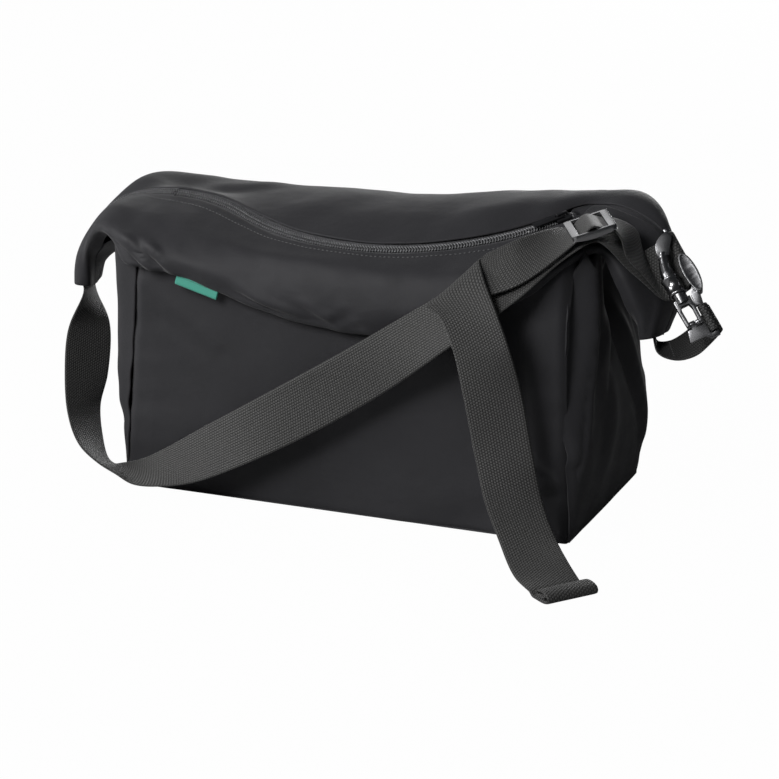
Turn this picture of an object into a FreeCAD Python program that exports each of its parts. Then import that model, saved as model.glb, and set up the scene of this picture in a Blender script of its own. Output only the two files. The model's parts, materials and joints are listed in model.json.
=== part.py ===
"""Messenger bag with a zipped yoke top, a webbing shoulder strap and a snap hook.

Millimetres.  +X runs along the bag, -Y is its front, +Z is up.  The origin is the
centre of the base, on the surface that the bag stands on.
"""
import FreeCAD, Part

import math
import os
import Sketcher
from FreeCAD import Placement, Rotation, Vector

doc = FreeCAD.newDocument("messenger_bag")

# ---------------------------------------------------------------- driving sizes

SIZES = [
    # body
    ("base_length", 340.0), ("base_depth", 160.0), ("panel_height", 176.0),
    ("panel_top_length", 326.0), ("base_corner_radius", 5.0), ("fabric_thickness", 1.6),
    ("gusset_bulge", 18.0), ("gusset_rise", 24.0), ("gusset_rise_left", 19.0),
    ("gusset_recess", 12.0),
    ("board_thickness", 2.5), ("board_margin", 6.0),
    ("lining_thickness", 0.6), ("lining_margin", 3.5), ("lining_height", 150.0),
    # yoke
    ("yoke_thickness", 1.8), ("yoke_overhang", 10.0), ("ridge_height", 207.0),
    ("ridge_rise_right", 16.0), ("ridge_setback", 38.0),
    # zipper: an arc in a plane that tilts down towards the front
    ("zip_radius", 183.5), ("zip_centre_x", 1.7), ("zip_centre_back", 194.4),
    ("zip_plane_height", 210.0), ("zip_plane_tilt", 20.0), ("zip_left_radius", 114.0),
    ("zip_left_turn", 31.8), ("zip_right_turn", 50.0), ("zip_gap", 1.2),
    ("stop_length", 3.0), ("stop_width", 5.6), ("tape_width", 7.5), ("tape_thickness", 0.6),
    ("coil_width", 2.0), ("coil_height", 1.6),
    ("zip_window", 11.8), ("slider_width", 8.6), ("slider_length", 11.0),
    ("slider_plate", 1.2), ("slider_neck", 0.7), ("slider_turn", 47.0), ("running_clearance", 0.3),
    ("bridge_height", 3.0), ("bridge_length", 8.0), ("bridge_bar", 1.2), ("bridge_width", 2.0),
    ("pull_length", 22.0), ("pull_width", 5.0), ("pull_thickness", 1.2), ("pull_window", 4.4),
    # webbing
    ("strap_width", 40.0), ("webbing_thickness", 1.5), ("anchor_width", 24.0),
    ("hem_depth", 14.0), ("hem_layers", 3.0),
    ("label_length", 33.0), ("label_drop", 10.0), ("label_thickness", 1.2), ("label_tuck", 5.0),
    # adjuster
    ("adjuster_length", 31.0), ("adjuster_rail", 3.0), ("adjuster_bar", 5.0),
    ("adjuster_plate", 3.0), ("adjuster_rail_depth", 5.0), ("adjuster_centre_bar", 5.0),
    ("adjuster_slack", 0.8), ("adjuster_hump", 3.0), ("adjuster_corner", 3.0),
    # hook
    ("hook_side", 13.5), ("peg_radius", 2.6), ("peg_start", 22.0), ("peg_length", 47.0),
    ("frame_thickness", 3.0), ("spine_top", 25.5), ("frame_bar", 2.8), ("frame_foot", 3.0),
    ("slot_length", 22.0), ("slot_top", 10.5), ("rail_side", 10.4), ("slot_width", 2.9),
    ("nose_reach", 8.9), ("nose_depth", 11.4), ("nose_shoulder", 3.4), ("guard_level", 4.7),
    ("guard_thickness", 2.5), ("guard_width", 9.8), ("guard_length", 30.0),
    ("guard_height", 32.0), ("guard_dish", 1.0), ("guard_rim", 1.6), ("guard_post", 2.2),
    ("pivot_drop", 28.5), ("pivot_side", 4.0), ("pivot_radius", 1.1), ("arm_lean", 8.2),
    ("knuckle_radius", 2.4), ("knuckle_width", 3.6), ("prong_width", 2.2), ("fork_gap", 6.8),
    ("fork_spread", 0.4), ("fork_crotch", 14.0), ("fork_height", 19.0), ("shank_radius", 4.8),
    ("shank_top", 40.0), ("neck_length", 13.0), ("neck_radius", 2.8), ("tab_top", 65.5),
    ("sleeve_radius", 6.6), ("sleeve_length", 13.5), ("sleeve_rest", 23.2),
    ("sleeve_groove", 0.5), ("sleeve_band", 1.6), ("spring_wire", 0.6), ("tab_level", 5.2),
    ("tab_thickness", 2.2), ("fit_clearance", 0.08), ("fit_gap", 0.3),
]

sheet = doc.addObject("Spreadsheet::Sheet", "Sizes")
for row, (alias, value) in enumerate(SIZES, start=1):
    sheet.set("A%d" % row, alias)
    sheet.set("B%d" % row, str(value))
    sheet.setAlias("B%d" % row, alias)
doc.recompute()


def size(alias):
    """Value of one cell of the size sheet."""
    return float(sheet.get(alias))


half_length = size("base_length") / 2
half_depth = size("base_depth") / 2
fabric = size("fabric_thickness")
panel_top = size("panel_height")
webbing = size("webbing_thickness")

# --------------------------------------------------------------------- helpers

STEPS = 3


def add_solid(name, shape, placement=None):
    """Document object for a shape built with Part's own functions."""
    feature = doc.addObject("Part::Feature", name)
    feature.Label = name
    feature.Shape = shape
    feature.Placement = placement or Placement()
    return feature


def unit(vector):
    """Vector of length one along the given one."""
    result = Vector(vector)
    result.normalize()
    return result


def net_normals(net):
    """Normal at each point of a net of points."""
    normals = []
    last_row = len(net) - 1
    for i, row in enumerate(net):
        last = len(row) - 1
        line = []
        for j in range(len(row)):
            along = net[min(i + 1, last_row)][j] - net[max(i - 1, 0)][j]
            across = row[min(j + 1, last)] - row[max(j - 1, 0)]
            line.append(unit(along.cross(across)))
        normals.append(line)
    return normals


def eased(points, steps):
    """Points along the smooth curve through the given ones, steps to each span."""
    first = points[0] * 2 - points[1]
    last = points[-1] * 2 - points[-2]
    line = [first] + list(points) + [last]
    result = []
    for k in range(len(points) - 1):
        quad = line[k:k + 4]
        times = [0.0]
        for before, after in zip(quad, quad[1:]):
            times.append(times[-1] + math.sqrt((after - before).Length))
        for step in range(steps):
            moment = times[1] + (times[2] - times[1]) * step / steps
            level = quad
            for reach in (1, 2, 3):
                blend = []
                for j in range(len(level) - 1):
                    low = times[j] if reach < 3 else times[1]
                    high = times[j + reach] if reach < 3 else times[2]
                    share = (moment - low) / (high - low)
                    blend.append(level[j] * (1 - share) + level[j + 1] * share)
                level = blend
            result.append(level[0])
    result.append(Vector(points[-1]))
    return result


def refined(net, row_steps, column_steps):
    """Net with smooth in-between points in both directions."""
    rows = [eased(row, column_steps) for row in net]
    columns = [eased([row[j] for row in rows], row_steps) for j in range(len(rows[0]))]
    return [list(row) for row in zip(*columns)]


def triangles(first, second):
    """Faces between two lines of as many points."""
    faces = []
    for a, b, c, d in zip(first, first[1:], second[1:], second):
        for corners in ((a, b, c), (a, c, d)):
            faces.append(Part.Face(Part.makePolygon(list(corners) + [corners[0]])))
    return faces


def sheet_solid(net, thickness, bias=0.0, normals=None):
    """Sheet of even thickness about a net of points.

    bias -1 leaves the net on the sheet's upper side, +1 on its lower side, 0 mid-way.
    """
    normals = normals or net_normals(net)
    sides = []
    for side in (-0.5, 0.5):
        shift = thickness * (side + bias / 2)
        sides.append([[p + n * shift for p, n in zip(row, line)]
                      for row, line in zip(net, normals)])
    faces = []
    for rows in sides:
        for first, second in zip(rows, rows[1:]):
            faces += triangles(first, second)
    low, high = sides
    faces += triangles(low[0], high[0]) + triangles(low[-1], high[-1])
    for end in (0, -1):
        faces += triangles([row[end] for row in low], [row[end] for row in high])
    shell = Part.makeShell(faces)
    shell.sewShape(0.001)
    solid = Part.makeSolid(shell.Shells[0])
    if solid.Volume < 0:
        solid.reverse()
    return solid


def ribbon_net(stations, width):
    """Net of flat webbing along stations of (centre, direction across, share of width)."""
    net = []
    for centre, across, share in stations:
        reach = unit(Vector(*across)) * (width * share / 2)
        middle = Vector(*centre)
        net.append([middle - reach, middle, middle + reach])
    return net


def origin_plane(body, role):
    """Origin plane of a body, by its role."""
    return next(item for item in body.Origin.OriginFeatures if item.Role == role)


def new_body(name):
    """Empty PartDesign body with its label."""
    body = doc.addObject("PartDesign::Body", name)
    body.Label = name
    return body


def new_sketch(body, role, name, lift=None, shift=None, rise=None):
    """Sketch on an origin plane; lift, shift and rise are expressions of its offset."""
    sketch = body.newObject("Sketcher::SketchObject", name)
    sketch.AttachmentSupport = [(origin_plane(body, role), "")]
    sketch.MapMode = "FlatFace"
    for axis, expression in (("z", lift), ("x", shift), ("y", rise)):
        if expression:
            sketch.setExpression("AttachmentOffset.Base." + axis, expression)
    return sketch


def draw_rectangle(sketch, width, height):
    """Rectangle about the sketch's origin, bound to two expressions."""
    first = sketch.GeometryCount
    corners = [Vector(-1, -1, 0), Vector(1, -1, 0), Vector(1, 1, 0), Vector(-1, 1, 0)]
    for k in range(4):
        sketch.addGeometry(Part.LineSegment(corners[k], corners[(k + 1) % 4]), False)
    for k in range(4):
        sketch.addConstraint(Sketcher.Constraint("Coincident", first + k, 2, first + (k + 1) % 4, 1))
    for k, kind in enumerate(("Horizontal", "Vertical", "Horizontal", "Vertical")):
        sketch.addConstraint(Sketcher.Constraint(kind, first + k))
    sketch.addConstraint(Sketcher.Constraint("Symmetric", first, 1, first + 2, 1, -1, 1))
    wide = sketch.addConstraint(Sketcher.Constraint("DistanceX", first, 1, first, 2, 2.0))
    tall = sketch.addConstraint(Sketcher.Constraint("DistanceY", first + 1, 1, first + 1, 2, 2.0))
    sketch.setExpression("Constraints[%d]" % wide, width)
    sketch.setExpression("Constraints[%d]" % tall, height)


def draw_circle(sketch, radius):
    """Circle about the sketch's origin, bound to an expression."""
    circle = sketch.addGeometry(Part.Circle(Vector(), Vector(0, 0, 1), 1.0), False)
    sketch.addConstraint(Sketcher.Constraint("Coincident", circle, 3, -1, 1))
    bound = sketch.addConstraint(Sketcher.Constraint("Radius", circle, 1.0))
    sketch.setExpression("Constraints[%d]" % bound, radius)


def pad(body, sketch, length, midplane=False, backwards=False):
    """Pad of a sketch, bound to an expression."""
    feature = body.newObject("PartDesign::Pad", sketch.Name + "_pad")
    feature.Profile = sketch
    feature.setExpression("Length", length)
    feature.Midplane = midplane
    feature.Reversed = backwards
    sketch.Visibility = False
    return feature


def pocket(body, sketch, length, midplane=True):
    """Pocket of a sketch, bound to an expression."""
    feature = body.newObject("PartDesign::Pocket", sketch.Name + "_pocket")
    feature.Profile = sketch
    feature.setExpression("Length", length)
    feature.Midplane = midplane
    sketch.Visibility = False
    return feature


def round_edges(body, base, radius, choose):
    """Fillet on the edges of base that choose() accepts."""
    doc.recompute()
    names = ["Edge%d" % (k + 1) for k, edge in enumerate(base.Shape.Edges) if choose(edge)]
    fillet = body.newObject("PartDesign::Fillet", base.Name + "_round")
    fillet.Base = (base, names)
    fillet.setExpression("Radius", radius)
    return fillet


def upright(edge):
    """True for a straight edge along Z."""
    if len(edge.Vertexes) < 2:
        return False
    a, b = edge.Vertexes[0].Point, edge.Vertexes[-1].Point
    return abs(a.x - b.x) < 1e-6 and abs(a.y - b.y) < 1e-6 and abs(a.z - b.z) > 1e-3


# ---------------------------------------------------------------- body panels


def build_base():
    """Base panel that the bag stands on, and the stiffening board above it."""
    body = new_body("base_panel")
    outline = new_sketch(body, "XY_Plane", "base_outline")
    draw_rectangle(outline, "Sizes.base_length", "Sizes.base_depth")
    plate = pad(body, outline, "Sizes.fabric_thickness")
    round_edges(body, plate, "Sizes.base_corner_radius", upright)

    body = new_body("base_board")
    outline = new_sketch(body, "XY_Plane", "board_outline", lift="Sizes.fabric_thickness")
    draw_rectangle(outline, "Sizes.base_length - 2 * Sizes.board_margin",
                   "Sizes.base_depth - 2 * Sizes.board_margin")
    plate = pad(body, outline, "Sizes.board_thickness")
    round_edges(body, plate, "Sizes.base_corner_radius", upright)


def build_wall(name, at_front):
    """Front or back panel: wider at the base than at the top."""
    body = new_body(name)
    sketch = new_sketch(body, "XZ_Plane", name + "_outline")
    low, high, left, right = 0, 1, 2, 3
    corners = [Vector(-9, 0, 0), Vector(9, 0, 0), Vector(8, 9, 0), Vector(-8, 9, 0)]
    for a, b in ((0, 1), (2, 3), (3, 0), (1, 2)):
        sketch.addGeometry(Part.LineSegment(corners[a], corners[b]), False)
    for join in ((low, 2, right, 1), (right, 2, high, 1), (high, 2, left, 1), (left, 2, low, 1)):
        sketch.addConstraint(Sketcher.Constraint("Coincident", *join))
    sketch.addConstraint(Sketcher.Constraint("Symmetric", low, 1, low, 2, -2))
    sketch.addConstraint(Sketcher.Constraint("Symmetric", high, 1, high, 2, -2))
    bounds = [
        (("DistanceX", low, 1, low, 2, 18.0), "Sizes.base_length"),
        (("DistanceX", high, 2, high, 1, 16.0), "Sizes.panel_top_length"),
        (("DistanceY", -1, 1, low, 1, 1.0), "Sizes.fabric_thickness"),
        (("DistanceY", -1, 1, high, 1, 9.0), "Sizes.panel_height"),
    ]
    for constraint, expression in bounds:
        index = sketch.addConstraint(Sketcher.Constraint(*constraint))
        sketch.setExpression("Constraints[%d]" % index, expression)
    sign = "" if at_front else "-"
    sketch.setExpression("AttachmentOffset.Base.z", sign + "Sizes.base_depth / 2")
    pad(body, sketch, "Sizes.fabric_thickness", backwards=at_front)


def build_gusset(name, side):
    """End panel: pillowed outwards low down and gathered into a peak under the yoke."""
    bulge = size("gusset_bulge")
    recess = size("gusset_recess")
    rise = size("gusset_rise") if side > 0 else size("gusset_rise_left")
    seam = half_depth - 1.5 * fabric
    top_half = size("panel_top_length") / 2
    #        depth share, bulge share, rise share, gather share
    columns = [(-1.0, 0.0, 0.0, 0.0), (-0.6, 0.85, 0.75, 0.1), (-0.36, 0.95, 1.0, -0.3),
               (0.1, 1.0, 0.95, 1.0), (0.6, 0.95, 0.75, 0.4), (1.0, 0.0, 0.0, 0.0)]
    floor = fabric + 2 * size("fit_gap")
    heights = [0.0, 0.3, 0.6, 0.85, 1.0]
    swell = [0.0, 1.0, 0.72, 0.45, 0.4]
    gather = [0.0, 0.0, 0.35, 1.0, 0.5]
    net = []
    for depth, out, lift, pinch in columns:
        line = []
        for k, share in enumerate(heights):
            z = floor + share * (panel_top + rise * lift - floor)
            edge = half_length + (top_half - half_length) * min(z / panel_top, 1.0)
            x = edge + bulge * out * swell[k] - recess * pinch * gather[k]
            line.append(Vector(side * x, seam * depth, z))
        net.append(line)
    add_solid(name, sheet_solid(refined(net, 2, 2), fabric, bias=float(side)))


def build_lining():
    """Thin inner bag that stands on the board, open at the top."""
    floor = fabric + size("board_thickness")
    margin = size("lining_margin")
    skin = size("lining_thickness")
    top_half = size("panel_top_length") / 2 - size("gusset_recess")

    def box(inset, low, high):
        low_x, high_x = half_length - margin - inset, top_half - margin - inset
        y = half_depth - margin - inset
        rings = []
        for x, z in ((low_x, low), (high_x, high)):
            corners = [Vector(-x, -y, z), Vector(x, -y, z), Vector(x, y, z), Vector(-x, y, z)]
            rings.append(Part.makePolygon(corners + corners[:1]))
        return Part.makeLoft(rings, True, True)

    height = size("lining_height")
    shell = box(0.0, floor, floor + height).cut(box(skin, floor + skin, floor + height + skin))
    add_solid("lining", shell)


build_base()
build_wall("front_panel", True)
build_wall("back_panel", False)
build_gusset("left_gusset", -1)
build_gusset("right_gusset", 1)
build_lining()


# --------------------------------------------------------------------- zipper

zip_radius = size("zip_radius")
zip_left_radius = size("zip_left_radius")
zip_turn = math.radians(size("zip_left_turn"))
zip_tilt = math.radians(size("zip_plane_tilt"))
zip_across = Vector(0, math.cos(zip_tilt), math.sin(zip_tilt))
zip_up = Vector(0, -math.sin(zip_tilt), math.cos(zip_tilt))
zip_centre = (Vector(size("zip_centre_x"), 0, 0) + zip_across * size("zip_centre_back")
              + zip_up * size("zip_plane_height") * math.cos(zip_tilt))
zip_frame = Placement(zip_centre, Rotation(Vector(1, 0, 0), math.degrees(zip_tilt)))
tape = size("tape_thickness")


def zip_point(x, offset, lift):
    """Point on the zipper's path at x, moved towards the front and off its plane."""
    local = x - size("zip_centre_x")
    if local > -zip_radius * math.sin(zip_turn):
        angle = math.asin(min(local / zip_radius, 1.0))
        outward = Vector(math.sin(angle), -math.cos(angle), 0)
        point = outward * zip_radius
    else:
        both = zip_radius + zip_left_radius
        centre = Vector(-both * math.sin(zip_turn), -both * math.cos(zip_turn), 0)
        share = max((local - centre.x) / zip_left_radius, 0.0)
        angle = math.asin(min(share, 1.0))
        outward = Vector(-math.sin(angle), -math.cos(angle), 0)
        point = centre - outward * zip_left_radius
        point.x = local if share == 0.0 else point.x
    return zip_frame.multVec(point + outward * offset + Vector(0, 0, lift))


def zip_strip(inner, outer, low, high):
    """Strip along the zipper between two offsets and two levels, in the zipper's frame."""
    both = zip_radius + zip_left_radius
    turn = math.degrees(zip_turn)
    right = size("zip_right_turn")
    main = Vector(0, 0, low)
    left = Vector(-both * math.sin(zip_turn), -both * math.cos(zip_turn), low)
    up = Vector(0, 0, 1)
    edges = []
    for offset in (inner, outer):
        edges.append(Part.makeCircle(zip_radius + offset, main, up, 270 - turn, 270 + right))
        edges.append(Part.makeCircle(zip_left_radius - offset, left, up, 90 - turn, 90))
    ends = [(edges[0].Vertexes[1].Point, edges[2].Vertexes[1].Point),
            (edges[1].Vertexes[1].Point, edges[3].Vertexes[1].Point)]
    edges += [Part.makeLine(a, b) for a, b in ends]
    face = Part.Face(Part.Wire(Part.__sortEdges__(edges)))
    return face.extrude(Vector(0, 0, high - low))


def build_zipper():
    """Two tapes, each with its row of coils, and a stop at each end."""
    half_gap = size("zip_gap") / 2
    for side, name in ((1, "front"), (-1, "back")):
        reach = sorted((side * half_gap, side * (half_gap + size("tape_width"))))
        add_solid("zipper_tape_" + name, zip_strip(reach[0], reach[1], 0.0, tape), zip_frame)
        reach = sorted((side * half_gap, side * (half_gap + size("coil_width"))))
        top = tape + size("coil_height")
        add_solid("zipper_coil_" + name, zip_strip(reach[0], reach[1], tape, top), zip_frame)


build_zipper()

# ----------------------------------------------------------------------- yoke

window = size("zip_window") / 2
yoke = size("yoke_thickness")
closing = size("zip_gap")
RIGHT_CORNER = 145
yoke_lift = tape + size("fit_gap") + yoke / 2
ridge_back = size("ridge_setback")
wall_front = -half_depth
wall_back = half_depth - fabric / 2


def ridge_top(x):
    """Height of the yoke's rear ridge: level on the left, rising to the right."""
    share = max(x / (size("panel_top_length") / 2), 0.0)
    rise = size("ridge_rise_right") * share
    dip = 2.5 * max(-x / half_length, 0.0)
    return size("ridge_height") + rise - dip


def front_row(x, hem, brow, out, crown, inset):
    """Front yoke at x: hem, brow and crown heights, and the crown's inset from the wall."""
    lip = wall_front - size("yoke_overhang")
    return [Vector(x, lip, hem), Vector(x, lip - out, brow),
            Vector(x, wall_front + inset, crown), zip_point(x, window, yoke_lift)]


def back_row(x):
    """Back yoke at x: zipper edge, ridge, rear slope and the top of the back panel."""
    top = ridge_top(x)
    near = zip_point(x, -window, yoke_lift)
    if x > RIGHT_CORNER:
        near = zip_point(x, -closing, yoke_lift)
    return [near, Vector(x, (near.y + ridge_back) / 2 - 6, top - 1.5),
            Vector(x, ridge_back, top), Vector(x, half_depth - 10, top - 14),
            Vector(x, wall_back, panel_top + 2 * size("fit_gap"))]


# Each end runs down into a flat sleeve that the webbing comes out of.
LEFT_FRONT = [
    [(-220, -25, 132), (-217, -41, 135), (-224, -44.5, 136), (-231.5, -20, 133)],
    [(-217, -30, 150), (-216.5, -43, 152), (-223.5, -41, 155.5), (-234.5, -16, 152)],
    [(-203, -46, 168), (-206.5, -57, 174), (-205, -46, 185.5), (-215, -14, 186)],
    [(-184, -66, 184), (-186, -74, 190), (-190, -50, 200), (-192, -12, 199)],
]
LEFT_BACK = [
    [(-231.8, -18, 133), (-233.5, -8, 131), (-234.5, 1, 130), (-230, 4, 130), (-223, -14, 131)],
    [(-234.5, -14, 152), (-236.5, -2, 151), (-235, 8, 150), (-228, 12, 146), (-221, -2, 146)],
    [(-214.5, -11, 187), (-217, 2, 188), (-219, 14, 185), (-211, 34, 173), (-204, 36, 160)],
    [(-192, -9, 200), (-193, 10, 206), (-194, 30, 205), (-194, 52, 196), (-188, 62, 176)],
]
RIGHT_FRONT = [
    [(173, -36, 198), (175, -38, 202), (176, -14, 208), (174, 10, 217)],
    [(188, -40, 178), (194, -41, 184), (202, -14, 195), (207, 4, 203)],
    [(198, -34, 155), (204, -40, 158), (213, -30, 164), (219, -6, 166)],
    [(203, -24, 138), (206, -40, 141), (212, -38, 142), (215, -18, 140)],
]
RIGHT_BACK = [
    [(175, 13, 219), (178, 25, 223), (182, 40, 222), (184, 58, 206), (176, 74, 178)],
    [(208, 7, 203), (206, 14, 208), (203, 26, 208), (198, 44, 192), (190, 50, 166)],
    [(219, -3, 166), (219, 4, 163), (218, 12, 162), (210, 20, 158), (202, 6, 154)],
    [(215, -16, 140), (215, -6, 139), (211, 3, 138), (205, 3, 138), (201, -10, 138)],
]


def as_vectors(rows):
    """Rows of plain points as rows of vectors."""
    return [[Vector(*point) for point in row] for row in rows]


def build_yoke():
    """Front and back halves of the top, open between them for the zipper."""
    front = as_vectors(LEFT_FRONT)
    front.append([Vector(-161, -86, 171), Vector(-161, -87, 182), Vector(-161, -62, 197),
                  zip_point(-157, window, yoke_lift)])
    front.append([Vector(-138, -88.5, 169.5), Vector(-138, -89.5, 180), Vector(-138, -67, 194.5),
                  zip_point(-138, window, yoke_lift)])
    for station in FRONT_LIP:
        front.append(front_row(*station))
    front.append([Vector(138, -82, 176), Vector(139, -82, 184), Vector(139, -60, 197),
                  zip_point(138, window, yoke_lift)])
    front.append([Vector(144, -79.5, 180.5), Vector(145, -79, 187.5), Vector(145, -53, 199),
                  zip_point(144.5, window, yoke_lift)])
    front.append([Vector(152, -74, 188), Vector(153, -73, 193), Vector(153, -42, 201.5),
                  zip_point(152, closing, yoke_lift)])
    front += as_vectors(RIGHT_FRONT)
    add_solid("yoke_front", sheet_solid(refined(front, 2, 3), yoke))

    back = as_vectors(LEFT_BACK)
    back += [back_row(x) for x in (-157, -138, -118, -50, 20, 80, 120, 136, 144.5, 152)]
    back += as_vectors(RIGHT_BACK)
    for row in back:
        reach = 4.0 if row[0].x > -160 and row[0].x < 140 else 0.0
        beside = row[0] * 0.85 + row[1] * 0.15
        if reach:
            beside = row[0] + zip_across * reach
        row.insert(1, beside)
    add_solid("yoke_back", sheet_solid(refined(back, 2, 2), yoke))


# x, hem height, brow height and its reach beyond the hem, crown height and inset
FRONT_LIP = [(-118, 168, 178, 1, 192, 8), (-50, 148, 163, 2, 183, -2), (20, 140, 158, 3, 180, -4),
             (70, 147, 163, 0, 181, 0), (105, 160, 172, -4, 186, 4)]


# Right end of the facing, where the lip climbs over the end panel.
FACING_END = [
    [(122, -80.6, 175), (122, -82, 172.5), (122, -83.8, 170)],
    [(138, -80.6, 175), (138, -80.5, 177), (138, -80.2, 179)],
    [(145, -80.4, 176.6), (145, -79.2, 179), (145, -77.0, 182)],
    [(152, -80.2, 176.8), (152, -76.3, 183), (152, -70.8, 189.5)],
    [(157, -80, 177), (158, -72, 184), (159, -61, 192)],
]


def build_facing():
    """Strip that joins the front panel's top to the inside of the lip."""
    inside = wall_front - size("fit_gap") - size("lining_thickness") / 2
    seat = wall_front - size("yoke_overhang") + yoke / 2 + size("label_thickness") + 1.0
    net = []
    for x, hem, brow in (station[:3] for station in FRONT_LIP):
        net.append([Vector(x, inside, panel_top - 1), Vector(x, (inside + seat) / 2, brow - 2),
                    Vector(x, seat, hem + 2)])
    net += as_vectors(FACING_END)
    add_solid("lip_facing", sheet_solid(refined(net, 2, 1), size("lining_thickness")))


build_yoke()
build_facing()

# -------------------------------------------------------------------- webbing

# Stations of the strap: centre, direction across, share of the width.
LEFT_LOOP = [
    ((-228.5, -19, 137), (0.25, -0.96, 0.12), 0.95), ((-223, -26, 127), (0.25, -0.94, 0.23), 1),
    ((-217, -40, 105), (-0.38, -0.92, 0.11), 1), ((-210, -60, 75), (-0.43, -0.87, 0.24), 1),
    ((-203, -78, 53), (-0.15, -0.98, 0.09), 1), ((-192, -90, 35), (0.04, -0.99, 0.14), 1),
    ((-180, -96, 23), (0.27, -0.93, 0.24), 1), ((-169, -98, 18), (0.47, -0.87, 0.15), 1),
    ((-158, -99, 16), (0.62, -0.78, -0.08), 1), ((-136, -99, 20), (0.78, -0.58, -0.24), 1),
    ((-116, -98, 28), (0.76, -0.49, -0.42), 1),
]
FRONT_RUN = [
    ((-89, -99, 43), (0.66, -0.42, -0.62), 1), ((-33, -100, 76), (0.56, -0.05, -0.83), 1),
    ((27, -102, 115), (0.7, 0, -0.72), 1), ((77, -103, 151.5), (0.76, -0.4, -0.5), 1),
    ((124, -83, 185), (0.62, -0.66, -0.43), 1), ((149, -52.5, 203.5), (0.58, -0.8, -0.12), 1),
]
UNDER_RUN = [
    ((169.4, -39.5, 211.2), (0.442, -0.889, 0.03), 1), ((181, -37.7, 210), (0.25, -0.96, -0.1), 1),
    ((193, -36, 202.4), (0.2, -0.93, -0.3), 1), ((202, -35, 195.4), (0.35, -0.78, -0.52), 1),
]
UPPER_RUN = [
    ((203, -35.5, 200.2), (0.35, -0.78, -0.52), 1), ((195, -35.5, 208.2), (0.2, -0.93, -0.3), 1),
    ((187.5, -34, 215.6), (0.35, -0.93, -0.1), 1),
]
TAIL_HEAD = [
    ((151.7, -50.8, 209.2), (0.46, -0.87, -0.15), 1), ((130.2, -76.8, 197.6), (0.24, -0.74, -0.62), 1),
    ((109, -86, 189.5), (-0.2, -0.72, -0.66), 1.1), ((92, -92.7, 184.4), (-0.5, -0.66, -0.58), 1.2),
]
TAIL = [
    ((94.1, -103, 180.9), (-0.78, -0.48, -0.45), 1.1),
    ((107, -111.6, 167.5), (-0.98, -0.15, -0.16), 1),
    ((116.7, -113.4, 146.6), (-0.98, -0.04, -0.17), 1), ((124, -110, 115), (-0.97, -0.2, -0.16), 1),
    ((133, -109, 70), (-0.97, -0.2, -0.12), 1), ((142, -113, 39), (-0.92, -0.38, 0.05), 1),
    ((155, -123, 19), (-0.9, -0.43, 0.05), 1), ((173, -145, 7.5), (-0.75, -0.64, -0.1), 1),
    ((188, -160, 3), (-0.62, -0.78, 0), 1),
]
strap_width = size("strap_width")


def build_hem():
    """Rolled end of the tail, lying on the ground."""
    fold = size("hem_layers") * webbing
    roll = Part.makeBox(size("hem_depth"), strap_width, fold)
    roll.translate(Vector(0, -strap_width / 2, 0))
    edges = [e for e in roll.Edges if abs(e.tangentAt(e.FirstParameter).y) > 0.99]
    roll = roll.makeFillet(0.3 * fold, edges)
    end = Vector(*TAIL[-1][0])
    across = unit(Vector(*TAIL[-1][1]))
    forward = unit(Vector(-across.y, across.x, 0))
    place = end + forward * size("fit_gap")
    place.z = 0
    heading = math.degrees(math.atan2(forward.y, forward.x))
    add_solid("strap_hem", roll, Placement(place, Rotation(Vector(0, 0, 1), heading)))


build_hem()

# ------------------------------------------------------------------- hardware


def frame_of(origin, right, up):
    """Placement whose X runs along right and whose Y lies towards up."""
    x = unit(Vector(*right))
    z = unit(x.cross(Vector(*up)))
    return Placement(Vector(*origin), Rotation(x, z.cross(x), z, "XYZ"))


adjuster_frame = frame_of((168, -40, 218), (0.85, 0.43, 0.30), (-0.442, 0.889, -0.03))
hook_centre = frame_of((230.3, -45, 181.8), (0.846, 0.444, 0.295), (-0.495, 0.45, 0.743))
pivot_place = Placement(Vector(size("pivot_side"), -size("pivot_drop"), 0),
                        Rotation(Vector(0, 0, 1), size("arm_lean")))
hook_place = hook_centre.multiply(pivot_place)


def at(*terms):
    """Value and expression of a sum whose terms are (factor, alias) pairs or numbers."""
    value = 0.0
    words = []
    for term in terms:
        if isinstance(term, tuple):
            value += term[0] * size(term[1])
            words.append("%s * Sizes.%s" % (term[0], term[1]))
        else:
            value += term
            words.append(str(term))
    return value, " + ".join("(%s)" % word for word in words)


def draw_outline(sketch, points):
    """Closed outline of straight sides; each point is a pair of expressions."""
    count = len(points)
    first = sketch.GeometryCount
    corners = [Vector(point[0][0], point[1][0], 0) for point in points]
    for k in range(count):
        sketch.addGeometry(Part.LineSegment(corners[k], corners[(k + 1) % count]), False)
    for k in range(count):
        sketch.addConstraint(Sketcher.Constraint("Coincident", first + k, 2,
                                                 first + (k + 1) % count, 1))
    for k in range(count):
        for kind, place in (("DistanceX", points[k][0]), ("DistanceY", points[k][1])):
            bound = Sketcher.Constraint(kind, -1, 1, first + k, 1, place[0])
            index = sketch.addConstraint(bound)
            sketch.setExpression("Constraints[%d]" % index, place[1])


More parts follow.
